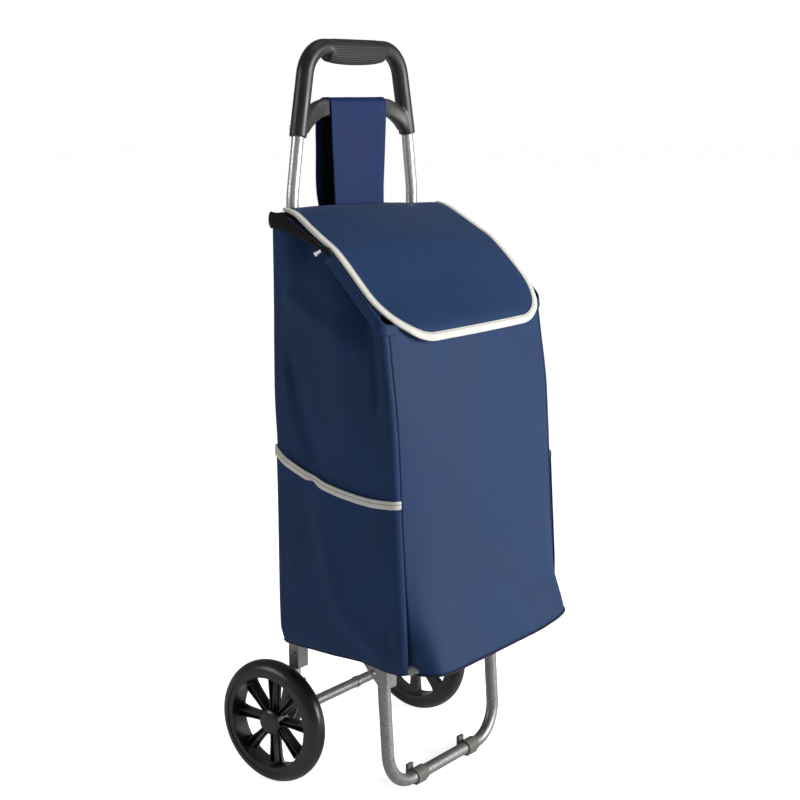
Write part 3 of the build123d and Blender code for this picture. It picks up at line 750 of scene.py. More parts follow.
def fix(piece: bpy.types.Object, fixing: Fixing) -> bpy.types.Object:
    """Tie a finished piece to the frame and report it."""
    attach(piece, fixing.body)
    if fixing.nodes:
        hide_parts(*fixing.nodes)
    if fixing.folds:
        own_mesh(piece)
    LOG.info("piece %s: %d faces on %s", piece.name, len(piece.data.polygons), fixing.body)
    return piece


# --- Studio -------------------------------------------------------------------------------------


@dataclass(frozen=True)
class SoftLight:
    """Square studio light."""

    name: str
    place: tuple[float, float, float]
    aim: tuple[float, float, float]
    size: float
    power: float


@dataclass(frozen=True)
class Studio:
    """Pale floor, even surroundings, soft lights and the camera."""

    eye: tuple[float, float, float] = (-1.6963, -1.2287, 0.8607)
    yaw: float = 35.91
    pitch: float = 10.28
    roll: float = -0.34
    lens: float = 74.77
    floor_size: float = 60.0
    floor_glow: float = 0.72
    ambient: float = 0.22
    lights: tuple[SoftLight, ...] = (
        SoftLight("key", (1.5, -3.4, 1.10), (0, 0, 0.45), 1.6, 200.0),
        SoftLight("rim", (-2.4, 1.6, 1.5), (0, 0, 0.6), 0.9, 26.0),
        SoftLight("top", (0.6, -0.6, 3.2), (0, 0, 0.5), 1.6, 7.0),
    )

    def build(self) -> None:
        """Set up everything round the trolley."""
        self.make_camera()
        self.make_floor()
        self.make_surroundings()
        for light in self.lights:
            self.make_light(light)
        bpy.context.scene.view_settings.view_transform = "Standard"

    def make_camera(self) -> None:
        """Place the camera and make it the scene's own."""
        yaw, pitch, roll = (math.radians(a) for a in (self.yaw, self.pitch, self.roll))
        ahead = Vector((math.cos(yaw) * math.cos(pitch), math.sin(yaw) * math.cos(pitch), -math.sin(pitch)))
        level = Vector((math.sin(yaw), -math.cos(yaw), 0))
        up = level.cross(ahead)
        right = math.cos(roll) * level + math.sin(roll) * up
        top = math.cos(roll) * up - math.sin(roll) * level
        data = bpy.data.cameras.new("camera")
        data.lens = self.lens
        data.sensor_width = 36.0
        data.clip_start, data.clip_end = 0.05, 60.0
        camera = bpy.data.objects.new("camera", data)
        bpy.context.scene.collection.objects.link(camera)
        camera.matrix_world = Matrix.Translation(self.eye) @ Matrix((right, top, -ahead)).transposed().to_4x4()
        bpy.context.scene.camera = camera

    def make_floor(self) -> None:
        """Lay the pale floor."""
        half = self.floor_size / 2
        corners = np.array([[(-half, -half, 0), (half, -half, 0)], [(-half, half, 0), (half, half, 0)]], float)
        floor = grid_object("studio_floor", corners, corners[..., :2])
        graph = ShaderGraph("studio_floor")
        speck = graph.noise(3.0, 2.0)
        shade = graph.blend(speck, tint(0.93, 0.93, 0.93), tint(0.95, 0.95, 0.95))
        seen = graph.node("LightPath").outputs["Is Camera Ray"]
        glow = graph.maths("MULTIPLY_ADD", seen, self.floor_glow, 0.08)
        paint = graph.surface(
            Base_Color=shade, Roughness=0.9, Specular_IOR_Level=0.1, Emission_Color=(1, 1, 1, 1), Emission_Strength=glow
        )
        floor.data.materials.append(paint)

    def make_surroundings(self) -> None:
        """White all round, dimmer as a light than it looks."""
        world = bpy.data.worlds.new("studio")
        world.use_nodes = True
        tree = world.node_tree
        tree.nodes["Background"].inputs["Strength"].default_value = self.ambient
        seen = tree.nodes.new("ShaderNodeBackground")
        ray = tree.nodes.new("ShaderNodeLightPath")
        mix = tree.nodes.new("ShaderNodeMixShader")
        for background in (tree.nodes["Background"], seen):
            background.inputs["Color"].default_value = (1, 1, 1, 1)
        tree.links.new(ray.outputs["Is Camera Ray"], mix.inputs[0])
        tree.links.new(tree.nodes["Background"].outputs[0], mix.inputs[1])
        tree.links.new(seen.outputs[0], mix.inputs[2])
        tree.links.new(mix.outputs[0], tree.nodes["World Output"].inputs["Surface"])
        bpy.context.scene.world = world

    def make_light(self, light: SoftLight) -> None:
        """Hang one soft light."""
        data = bpy.data.lights.new(light.name, "AREA")
        data.shape = "SQUARE"
        data.size = light.size
        data.energy = light.power
        lamp = bpy.data.objects.new(light.name, data)
        bpy.context.scene.collection.objects.link(lamp)
        lamp.location = light.place
        lamp.rotation_euler = (Vector(light.aim) - Vector(light.place)).to_track_quat("-Z", "Y").to_euler()


# --- Bag ----------------------------------------------------------------------------------------


class Panel(Enum):
    """Stretches of the bag's outline, anticlockwise from above, starting behind on the left."""

    LEFT = 0
    FRONT_LEFT = 1
    FRONT = 2
    FRONT_RIGHT = 3
    RIGHT = 4
    REAR_RIGHT = 5
    REAR = 6
    REAR_LEFT = 7


@dataclass(frozen=True)
class Fold:
    """One soft fold of a panel, along a line given in the panel's own breadth and height."""

    panel: Panel
    start: tuple[float, float]
    end: tuple[float, float]
    width: float
    depth: float

    def lift(self, along: np.ndarray, height: np.ndarray) -> np.ndarray:
        """Outward shift of points of the panel.

        Args:
            along: Breadth coordinate, y on a side panel and x on the front or rear.
            height: Z coordinate.

        Returns:
            Shift in metres, positive outwards.
        """
        line = np.subtract(self.end, self.start)
        reach = math.hypot(*line)
        share = ((along - self.start[0]) * line[0] + (height - self.start[1]) * line[1]) / reach**2
        off = ((along - self.start[0]) * line[1] - (height - self.start[1]) * line[0]) / reach
        fade = smoothstep(-0.15, 0.2, share) * (1 - smoothstep(0.8, 1.15, share))
        return self.depth * fade * np.exp(-((off / self.width) ** 2))


LEFT_FOLDS = (
    Fold(Panel.LEFT, (0.048, 0.640), (-0.020, 0.590), 0.016, 7.6 * MM),
    Fold(Panel.LEFT, (-0.020, 0.590), (-0.085, 0.575), 0.018, 8.5 * MM),
    Fold(Panel.LEFT, (-0.094, 0.590), (-0.098, 0.505), 0.006, -6.8 * MM),
    Fold(Panel.LEFT, (-0.040, 0.600), (-0.060, 0.440), 0.026, 6.0 * MM),
    Fold(Panel.LEFT, (0.040, 0.560), (-0.006, 0.410), 0.011, -7.6 * MM),
    Fold(Panel.LEFT, (0.030, 0.470), (0.000, 0.300), 0.020, -3.4 * MM),
    Fold(Panel.LEFT, (-0.004, 0.380), (-0.040, 0.250), 0.014, 3.7 * MM),
    Fold(Panel.LEFT, (-0.040, 0.255), (-0.105, 0.205), 0.012, 4.4 * MM),
    Fold(Panel.LEFT, (-0.112, 0.240), (-0.126, 0.205), 0.008, -4.2 * MM),
)
FRONT_FOLDS = (
    Fold(Panel.FRONT, (-0.115, 0.560), (-0.135, 0.300), 0.020, 1.6 * MM),
    Fold(Panel.FRONT, (0.120, 0.555), (0.150, 0.575), 0.012, -1.4 * MM),
    Fold(Panel.FRONT, (0.140, 0.540), (0.125, 0.250), 0.022, 1.2 * MM),
    Fold(Panel.FRONT, (-0.020, 0.420), (0.060, 0.230), 0.040, 1.0 * MM),
)


def mirrored_folds(folds: Iterable[Fold]) -> tuple[Fold, ...]:
    """The same folds, a little shallower, on the right panel."""
    return tuple(Fold(Panel.RIGHT, f.start, f.end, f.width * 1.15, f.depth * 0.8) for f in folds)


@dataclass(frozen=True)
class FlapShape:
    """The flap's curved sheet, laid over the slanted mouth of the bag."""

    half_width: float = 0.1710
    corner_radius: float = 0.074
    crown: float = 5.0 * MM
    front_bow: float = 9.0 * MM
    rear_pull: float = 13.0 * MM
    right_droop: float = 9.0 * MM
    profile: tuple[tuple[float, float], ...] = (
        (0.056, 0.7315), (0.042, 0.7280), (0.012, 0.7125), (-0.011, 0.6990), (-0.031, 0.6850), (-0.047, 0.6690),
        (-0.067, 0.6475), (-0.083, 0.6305), (-0.100, 0.6120), (-0.113, 0.5960), (-0.1195, 0.5810),
    )

    def curve(self) -> PathCurve:
        """Side view of the sheet, from the rear edge to the front."""
        return PathCurve(self.profile)

    def height(self, y: Any) -> np.ndarray:
        """Height of the sheet over depth y."""
        depths, heights = zip(*reversed(self.profile))
        return smooth_interp(y, depths, heights)

    def droop(self, x: Any, y: Any) -> Any:
        """How far the slack right side hangs below the left one."""
        share = np.clip((x + 0.09) / 0.26, 0.0, 1.0) ** 1.5
        return self.right_droop * share * (0.15 + 0.85 * smoothstep(-0.075, 0.0, y))

    def place(self, s: np.ndarray, x: np.ndarray, lift: Any) -> np.ndarray:
        """Points of the curved sheet.

        Args:
            s: Distance from the rear edge, along the cloth.
            x: Distance across the cloth from its middle.
            lift: Distance above the sheet.

        Returns:
            Points in the trolley's frame.
        """
        curve = self.curve()
        side = curve.at(s)
        tangent = curve.tangent(s)
        share = 1 - np.clip(np.abs(x) / self.half_width, 0, 1) ** 2
        swell = self.crown * share * np.sin(math.pi * np.clip(s / curve.length, 0, 1)) ** 0.7
        forward = self.front_bow * share * smoothstep(curve.length - 0.09, curve.length, s)
        height = swell + lift
        y = side[..., 0] + tangent[..., 1] * height - forward
        z = side[..., 1] - tangent[..., 0] * height - self.droop(x, y)
        pull = self.rear_pull * smoothstep(-0.02, -self.half_width, x) * (1 - smoothstep(0.0, 0.075, s))
        return np.stack([x + pull, y, z], axis=-1)

    def half_at(self, s: np.ndarray) -> np.ndarray:
        """Half of the sheet's width at distance s from the rear edge."""
        into = np.clip(s - (self.curve().length - self.corner_radius), 0, self.corner_radius)
        return self.half_width - self.corner_radius + np.sqrt(self.corner_radius**2 - into**2)


@dataclass(frozen=True)
class BagShape:
    """Surface of the hanging bag: a bowed box that sags, with its panels held by their seams."""

    shift_x: float = -1.5 * MM
    front_radius: float = 9.0 * MM
    rear_radius: float = 9.0 * MM
    hem: float = 0.1885
    left_hem: float = 0.1955
    right_hem: float = 0.1950
    rear_hem: float = 0.2035
    rim_drop: float = 4.5 * MM
    hollow: float = 27.0 * MM
    heights: tuple[float, ...] = (0.186, 0.203, 0.25, 0.29, 0.40, 0.45, 0.50, 0.57, 0.61, 0.74)
    halves: tuple[float, ...] = (0.1745, 0.1755, 0.1770, 0.1770, 0.1765, 0.1760, 0.1760, 0.1745, 0.1735, 0.1732)
    rears: tuple[float, ...] = (0.0590, 0.0590, 0.0590, 0.0590, 0.0595, 0.0610, 0.0635, 0.0645, 0.0645, 0.0640)
    corners: tuple[float, ...] = (-0.131, -0.1315, -0.1310, -0.129, -0.123, -0.1205, -0.117, -0.108, -0.1035, -0.096)
    middles: tuple[float, ...] = (-0.1715, -0.166, -0.1525, -0.1465, -0.136, -0.132, -0.128, -0.118, -0.112, -0.103)
    bows: tuple[float, ...] = (17.0, 17.0, 7.0, 3.4, 2.2, 2.2, 2.2, 2.2, 2.2, 2.2)
    right_ease: float = 0.62
    flap: FlapShape = FlapShape()
    folds: tuple[Fold, ...] = LEFT_FOLDS + FRONT_FOLDS + mirrored_folds(LEFT_FOLDS)

    def outline(self, panel: Panel, t: np.ndarray, z: np.ndarray) -> tuple[np.ndarray, np.ndarray]:
        """Flat outline of the bag at given heights.

        Args:
            panel: Stretch of the outline.
            t: Share of the way along it.
            z: Heights, same shape as t.

        Returns:
            Points and outward unit normals, both with x, y and z in the last axis.
        """
        rows = (self.halves, self.rears, self.corners, self.middles, self.bows)
        half, rear, corner, middle, bow = (smooth_interp(z, self.heights, values) for values in rows)
        front_r, rear_r = self.front_radius, self.rear_radius
        if panel in (Panel.LEFT, Panel.RIGHT):
            sign = -1 if panel is Panel.LEFT else 1
            share = t if panel is Panel.LEFT else 1 - t
            x = sign * half
            y = (rear - rear_r) * (1 - share) + (corner + front_r) * share
            normal_x, normal_y = np.full_like(z, sign), np.zeros_like(z)
        elif panel is Panel.REAR:
            x, y = (half - rear_r) * (1 - 2 * t), rear
            normal_x, normal_y = np.zeros_like(z), np.ones_like(z)
        elif panel is Panel.FRONT:
            reach = half - front_r
            q = 2 * t - 1
            depth = corner - middle
            bow = 2 + (bow - 2) * (1 - (1 - self.right_ease) * smoothstep(-0.2, 0.6, q))
            x = reach * q
            y = corner - depth * (1 - np.abs(q) ** bow)
            slope = np.sign(q) * depth * bow * np.abs(q) ** (bow - 1) / reach
            size = np.sqrt(slope**2 + 1)
            normal_x, normal_y = slope / size, -1 / size
        else:
            quarter = {Panel.FRONT_LEFT: 2, Panel.FRONT_RIGHT: 3, Panel.REAR_RIGHT: 0, Panel.REAR_LEFT: 1}[panel]
            angle = (quarter + t) * math.pi / 2
            sign = -1 if quarter in (1, 2) else 1
            radius = front_r if quarter in (2, 3) else rear_r
            centre_y = corner + front_r if quarter in (2, 3) else rear - rear_r
            normal_x, normal_y = np.cos(angle), np.sin(angle)
            x = sign * (half - radius) + radius * normal_x
            y = centre_y + radius * normal_y
        zeros = np.zeros_like(z)
        return np.stack([x, y, z], axis=-1), np.stack([normal_x, normal_y, zeros], axis=-1)

    def rim(self, x: Any, y: Any) -> np.ndarray:
        """Height of the bag's upper edge over a point of its outline."""
        return self.flap.height(y) - self.rim_drop - self.flap.droop(x, y)

    def bottom(self, panel: Panel, points: np.ndarray) -> np.ndarray:
        """Height of the bag's lower edge at points of the outline."""
        x, y = points[..., 0], points[..., 1]
        left = (self.left_hem - self.hem) * smoothstep(-0.150, -0.168, x) * smoothstep(-0.125, -0.060, y)
        right = (self.right_hem - self.hem) * smoothstep(0.060, 0.168, x)
        rear = (self.rear_hem - self.hem) * (1 - smoothstep(0.140, 0.158, np.abs(x))) * smoothstep(0.050, 0.058, y)
        return self.hem + np.maximum(left + right, rear)

    def swell(self, panel: Panel, points: np.ndarray) -> np.ndarray:
        """Outward shift of the cloth from its flat outline.

        Args:
            panel: Stretch of the outline.
            points: Points of the flat outline.

        Returns:
            Shift in metres, positive outwards.
        """
        x, y, z = points[..., 0], points[..., 1], points[..., 2]
        tuck = -5.0 * MM * (1 - smoothstep(self.hem, self.hem + 0.030, z)) * smoothstep(-0.03, 0.045, y)
        if panel in (Panel.REAR, Panel.FRONT_LEFT, Panel.FRONT_RIGHT):
            return np.zeros_like(z)
        if panel in (Panel.REAR_LEFT, Panel.REAR_RIGHT):
            return tuck
        along = x if panel is Panel.FRONT else y
        total = sum((f.lift(along, z) for f in self.folds if f.panel is panel), np.zeros_like(z))
        total = total + 0.8 * MM * soft_noise(points, 0.055) + 0.35 * MM * soft_noise(points, 0.018)
        if panel is Panel.FRONT:
            half = smooth_interp(z, self.heights, self.halves) - self.front_radius
            room = half - np.abs(x)
            groove = -2.4 * MM * np.exp(-((room / (1.5 * MM)) ** 2))
            return total * smoothstep(0, 0.03, room) + groove + 1.6 * MM * smoothstep(0, 0.02, room)
        corner = smooth_interp(z, self.heights, self.corners) + self.front_radius
        room = np.minimum(self.rears[0] - self.rear_radius - y, y - corner)
        below = self.rim(x, y) - z
        window = smoothstep(0.050, 0.012, y) * smoothstep(-0.101, -0.070, y)
        sunk = -self.hollow * window * np.exp(-((below / 0.048) ** 2))
        return total * smoothstep(0, 0.018, room) + 1.5 * MM * smoothstep(0, 0.02, room) + sunk + tuck

    def surface(
        self, panel: Panel, t: np.ndarray, z: np.ndarray, lift: Any = 0.0, loose: bool = True
    ) -> np.ndarray:
        """Points of the cloth.

        Args:
            panel: Stretch of the outline.
            t: Share of the way along it.
            z: Heights.
            lift: Extra distance outwards.
            loose: Whether the folds and hollows count.

        Returns:
            Points in the trolley's frame.
        """
        flat, normal = self.outline(panel, t, z)
        shift = (self.swell(panel, flat) if loose else 0.0) + lift
        return flat + normal * np.asarray(shift)[..., None] + np.array([self.shift_x, 0, 0])

    def rim_height(self, panel: Panel, t: np.ndarray) -> np.ndarray:
        """Height of the upper edge for columns of a panel, where the outline itself narrows upwards."""
        z = np.full_like(t, 0.6)
        for _ in range(12):
            flat, _ = self.outline(panel, t, z)
            z = 0.5 * z + 0.5 * self.rim(flat[..., 0], flat[..., 1])
        return z


COLUMNS = {
    Panel.LEFT: 60,
    Panel.FRONT_LEFT: 12,
    Panel.FRONT: 90,
    Panel.FRONT_RIGHT: 12,
    Panel.RIGHT: 60,
    Panel.REAR_RIGHT: 8,
    Panel.REAR: 50,
    Panel.REAR_LEFT: 8,
}


@dataclass(frozen=True)
class Bag:
    """The bag's body: its shell, dark cords of painted shade in the corner seams, lower hem, floor and stiff board."""

    shape: BagShape = BagShape()
    rows: int = 120
    thickness: float = 1.3 * MM
    seam_shade_radius: float = 1.1 * MM
    hem_roll: float = 1.5 * MM
    floor_z: float = 0.2025
    board_thickness: float = 3.0 * MM

    def columns(self) -> list[tuple[Panel, np.ndarray]]:
        """Shares along each stretch, without the end that the next stretch begins with."""
        return [(panel, end_dense(count + 1)[:-1]) for panel, count in COLUMNS.items()]

    def build(self, palette: Palette) -> None:
        """Make and fix every piece of the body."""
        self.make_shell(palette)
        self.make_seam_shade(palette)
        self.make_hem(palette)
        self.make_floor(palette)

    def make_shell(self, palette: Palette) -> None:
        """Make the cloth shell, navy outside and black inside."""
        strips = []
        for panel, t in self.columns():
            top = self.shape.rim_height(panel, t)
            foot, _ = self.shape.outline(panel, t, np.full_like(t, self.shape.hem))
            low = self.shape.bottom(panel, foot)
            share = np.linspace(0, 1, self.rows)[:, None]
            z = low * (1 - share) + top * share
            strips.append(self.shape.surface(panel, np.broadcast_to(t, z.shape), z))
        points = np.concatenate(strips, axis=1)
        points = np.concatenate([points, points[:, :1]], axis=1)
        shell = grid_object("bag_shell", points, measured_uv(points), closed=True)
        palette.dress(shell, Finish.NAVY, Finish.LINING)
        modify(shell, "SOLIDIFY", thickness=self.thickness, offset=-1.0, material_offset=1, material_offset_rim=0)
        fix(bake(shell), Fixing("frame", "bag_navy", ("bag_body",), folds=True))

    def make_seam_shade(self, palette: Palette) -> None:
        """Make a dark cord in both front corners: painted shade for the crease of the corner seam."""
        for side, panel, t_at in (("left", Panel.FRONT, 0.0), ("right", Panel.FRONT, 1.0)):
            t = np.full(140, t_at)
            top = float(self.shape.rim_height(panel, t[:1])[0])
            foot, _ = self.shape.outline(panel, t[:1], np.array([self.shape.hem]))
            z = np.linspace(float(self.shape.bottom(panel, foot)[0]), top, len(t))
            path = self.shape.surface(panel, t, z, lift=0.2 * MM)
            seam = tube_object(f"corner_seam_shade_{side}", path, self.seam_shade_radius, sides=10)
            palette.dress(seam, Finish.NAVY_DARK)
            fix(seam, Fixing("frame", "bag_navy", folds=True))

    def make_hem(self, palette: Palette) -> None:
        """Make the rolled hem round the bag's lower edge."""
        strips = []
        for panel, t in self.columns():
            foot, _ = self.shape.outline(panel, t, np.full_like(t, self.shape.hem))
            low = self.shape.bottom(panel, foot)
            strips.append(self.shape.surface(panel, t, low))
        path = np.concatenate(strips) + np.array([0, 0, 0.3 * MM])
        hem = tube_object("bag_hem", path, self.hem_roll, sides=10, loop=True)
        palette.dress(hem, Finish.NAVY_DARK)
        fix(hem, Fixing("frame", "bag_navy", folds=True))

    def make_floor(self, palette: Palette) -> None:
        """Make the cloth floor and the stiff board that lies on it."""
        rings = {"bag_floor": (2.5 * MM, 1.4 * MM), "base_board_panel": (7.0 * MM, self.board_thickness)}
        z = self.floor_z
        for name, (inset, thickness) in rings.items():
            loops = []
            for panel, t in self.columns():
                if panel in (Panel.LEFT, Panel.RIGHT, Panel.REAR, Panel.FRONT):
                    t = np.linspace(0, 1, 25)[:-1]
                loops.append(self.shape.surface(panel, t, np.full_like(t, z), lift=-inset, loose=False))
            slab = slab_object(name, np.concatenate(loops), thickness, 0.4 * thickness)
            if name == "bag_floor":
                palette.dress(slab, Finish.NAVY)
                fix(slab, Fixing("frame", "bag_navy", folds=True))
            else:
                palette.dress(slab, Finish.BOARD)
                fix(slab, Fixing("frame", "board_black", ("base_board",), folds=True))
            z += thickness + 0.1 * MM


@dataclass(frozen=True)
class SidePocket:
    """Open-topped side pocket sewn into the corner seams, with a tape along its sagging edge."""

    side: str
    shape: BagShape = BagShape()
    top_edge: tuple[tuple[float, float], ...] = (
        (0.059, 0.4470), (0.043, 0.4340), (0.012, 0.4195), (-0.026, 0.4085), (-0.071, 0.4005), (-0.101, 0.3985),
        (-0.132, 0.3985),
    )
    rows: int = 46
    gape: float = 3.0 * MM
    sheet: float = 1.2 * MM
    tape_width: float = 9.0 * MM

    def columns(self) -> list[tuple[Panel, np.ndarray]]:
        """Stretches that the pocket covers, from the rear corner to the front seam."""
        runs = [(Panel.REAR_LEFT, np.linspace(0.45, 1, 5)[:-1]), (Panel.LEFT, end_dense(56)[:-1])]
        runs.append((Panel.FRONT_LEFT, np.linspace(0, 0.86, 10)))
        if self.side == "left":
            return runs
        opposite = {Panel.REAR_LEFT: Panel.REAR_RIGHT, Panel.LEFT: Panel.RIGHT, Panel.FRONT_LEFT: Panel.FRONT_RIGHT}
        return [(opposite[panel], 1 - t) for panel, t in runs]

    def edge_height(self, y: np.ndarray) -> np.ndarray:
        """Height of the pocket's upper edge at depth y."""
        depths, heights = zip(*reversed(self.top_edge))
        return smooth_interp(y, depths, heights)

    def grid(self, rows: np.ndarray, lift: Callable[[np.ndarray, np.ndarray], np.ndarray]) -> np.ndarray:
        """Points over the pocket.

        Args:
            rows: Heights as shares from the hem to the upper edge.
            lift: Distance off the bag for a share and a depth y.

        Returns:
            Rows by columns by 3.
        """
        strips = []
        for panel, t in self.columns():
            foot, _ = self.shape.outline(panel, t, np.full_like(t, 0.42))
            top = self.edge_height(foot[..., 1])
            low, _ = self.shape.outline(panel, t, np.full_like(t, self.shape.hem))
            z = (self.shape.bottom(panel, low) + 1.5 * MM) * (1 - rows) + top * rows
            wide = np.broadcast_to(t, z.shape)
            strips.append(self.shape.surface(panel, wide, z, lift(rows, foot[..., 1])))
        return np.concatenate(strips, axis=1)

    def off_bag(self, share: np.ndarray, y: np.ndarray) -> np.ndarray:
        """Distance of the pocket's cloth off the bag, widest in the middle of its edge."""
        middle = smoothstep(0.058, 0.010, y) * smoothstep(-0.128, -0.090, y)
        return 1.6 * MM + self.gape * middle * share**3

    def build(self, palette: Palette) -> None:
        """Make the pocket's cloth and its tape."""
        rows = np.linspace(0, 1, self.rows)[:, None]
        points = self.grid(rows, self.off_bag)
        if self.side == "right":
            points = points[:, ::-1]
        cloth = grid_object(f"pocket_{self.side}", points, measured_uv(points))
        palette.dress(cloth, Finish.NAVY, Finish.LINING)
        modify(cloth, "SOLIDIFY", thickness=self.sheet, offset=-1.0, material_offset=1)
        fix(bake(cloth), Fixing("frame", "bag_navy", (f"side_pocket_{self.side}",), folds=True))
        self.make_tape(palette)

    def make_tape(self, palette: Palette) -> None:
        """Make the tape folded over the upper edge."""
        edge = self.grid(np.ones((1, 1)), self.off_bag)[0]
        tangents = unit(np.gradient(edge, axis=0))
        outward = unit(np.cross(tangents, [0, 0, 1.0]))
        outward *= np.sign((outward[:, :1] * SIDES[self.side]).mean())
        down = unit(np.cross(outward, tangents))
        down *= -np.sign(down[:, 2:].mean())
        width = self.tape_width
        section = (
            (width, 0.1 * MM), (width, 0.7 * MM), (0.8 * width, 1.25 * MM), (0.5 * width, 1.1 * MM),
            (0.2 * width, 1.3 * MM), (-0.4 * MM, 1.0 * MM), (-1.0 * MM, 0.0), (-0.6 * MM, -1.6 * MM),
            (0.3 * width, -2.1 * MM), (0.9 * width, -1.9 * MM), (0.9 * width, -1.4 * MM), (0.2 * width, -1.3 * MM),
            (0.2 * width, 0.0),
        )
        tape = sweep_section(f"pocket_tape_{self.side}", edge, down, outward, section)
        weld(tape)
        palette.dress(tape, Finish.POCKET_TAPE)
        fix(tape, Fixing("frame", "binding_grey", (f"pocket_binding_{self.side}",), folds=True))


@dataclass(frozen=True)
class Mouth:
    """Mouth of the bag: a hem round its slanted rim, a gathered black collar and its drawstring."""

    shape: BagShape = BagShape()
    middle: tuple[float, float, float] = (0.0, -0.026, 0.652)
    normal: tuple[float, float, float] = (0.0, -0.616, 0.788)
    opening: tuple[float, float] = (0.110, 0.052)
    gathers: int = 46
    cord_radius: float = 1.9 * MM
    stop_place: tuple[float, float, float] = (-0.1745, -0.0050, 0.6812)
    stop_axis: tuple[float, float, float] = (0.0, -0.87, 0.48)
    stop_length: float = 15.0 * MM

    def build(self, palette: Palette) -> None:
        """Make every piece of the mouth."""
        self.make_rim_hem(palette)
        for side in SIDES:
            self.make_band(palette, side)
        self.make_collar(palette)
        self.make_cord(palette)

    def rim_path(self, stretches: Sequence[tuple[Panel, np.ndarray]], lift: float) -> tuple[np.ndarray, ...]:
        """Line along the rim, unaffected by the hollows.

        Args:
            stretches: Panels with the shares of them to follow.
            lift: Distance outwards from the outline.

        Returns:
            Points, directions down the cloth, and directions outwards.
        """
        path, normals = [], []
        for panel, t in stretches:
            z = self.shape.rim_height(panel, t)
            flat, normal = self.shape.outline(panel, t, z)
            path.append(flat + normal * lift + np.array([self.shape.shift_x, 0, 0]))
            normals.append(normal)
        points = np.concatenate(path)
        outward = np.concatenate(normals)
        tangents = unit(np.gradient(points, axis=0))
        down = unit(np.cross(tangents, outward))
        down *= np.where(down[:, 2:] > 0, -1.0, 1.0)
        return points, down, outward

    def make_rim_hem(self, palette: Palette) -> None:
        """Make the navy hem from one side of the mouth, round the front, to the other."""
        stretches = [
            (Panel.LEFT, np.linspace(0.57, 1, 30)[:-1]),
            (Panel.FRONT_LEFT, np.linspace(0, 1, 10)[:-1]),
            (Panel.FRONT, np.linspace(0, 1, 60)[:-1]),
            (Panel.FRONT_RIGHT, np.linspace(0, 1, 10)[:-1]),
            (Panel.RIGHT, np.linspace(0, 0.43, 30)),
        ]
        path, down, outward = self.rim_path(stretches, 0.6 * MM)
        section = (
            (-1.5 * MM, 0.0), (-1.0 * MM, 1.2 * MM), (3 * MM, 1.9 * MM), (5.5 * MM, 1.2 * MM), (8 * MM, 2.0 * MM),
            (12 * MM, 1.4 * MM), (13.5 * MM, -0.8 * MM), (12.5 * MM, -7 * MM), (10.5 * MM, -7 * MM),
            (11 * MM, -1.2 * MM),
            (1.6 * MM, -0.8 * MM), (3.4 * MM, -12 * MM), (2.0 * MM, -12 * MM), (-0.4 * MM, -0.8 * MM),
        )
        hem = sweep_section("mouth_hem", path, down, outward, section)
        weld(hem)
        palette.dress(hem, Finish.NAVY)
        fix(hem, Fixing("frame", "bag_navy", folds=True))

    def make_band(self, palette: Palette, side: str) -> None:
        """Make the black band that shows under the flap's edge, tallest at the rear corner."""
        stretches = [(Panel.REAR_LEFT, np.linspace(0.1, 1, 10)[:-1]), (Panel.LEFT, np.linspace(0, 0.50, 30))]
        if side == "right":
            stretches = [(Panel.RIGHT, np.linspace(0.50, 1, 30)[:-1]), (Panel.REAR_RIGHT, np.linspace(0, 0.9, 10))]
        path, down, outward = self.rim_path(stretches, 2.6 * MM)
        tall = smooth_interp(path[:, 1], (-0.015, 0.010, 0.036, 0.062), (4 * MM, 9 * MM, 16 * MM, 18 * MM))
        share = np.array([-0.12, 0.0, 0.25, 0.5, 0.75, 1.0])
        bulge = np.array([-1.0, 0.8, 1.6, 1.9, 1.2, -0.6]) * MM
        points = path[None] + down[None] * (share[:, None, None] * tall[None, :, None])
        points = points + outward[None] * bulge[:, None, None]
        band = grid_object(f"collar_band_{side}", points, measured_uv(points))
        palette.dress(band, Finish.LINING)
        modify(band, "SOLIDIFY", thickness=1.4 * MM, offset=0.0)
        modify(band, "SUBSURF", levels=1, render_levels=1)
        fix(bake(band), Fixing("frame", "collar_black", folds=True))

    def ring(self, angles: np.ndarray, grow: float, lift: float) -> np.ndarray:
        """Rounded outline of the opening, in the slanted plane of the mouth.

        Args:
            angles: Angles round the opening, 0 towards +X.
            grow: Distance outwards from the opening.
            lift: Distance above the plane.

        Returns:
            Points in the trolley's frame.
        """
        normal = np.array(self.normal)
        upslope = np.cross(normal, [1.0, 0, 0])
        power = 2 / 2.8
        across = np.sign(np.cos(angles)) * np.abs(np.cos(angles)) ** power * (self.opening[0] + grow)
        along = np.sign(np.sin(angles)) * np.abs(np.sin(angles)) ** power * (self.opening[1] + grow)
        return np.array(self.middle) + across[:, None] * [1.0, 0, 0] + along[:, None] * upslope + lift * normal

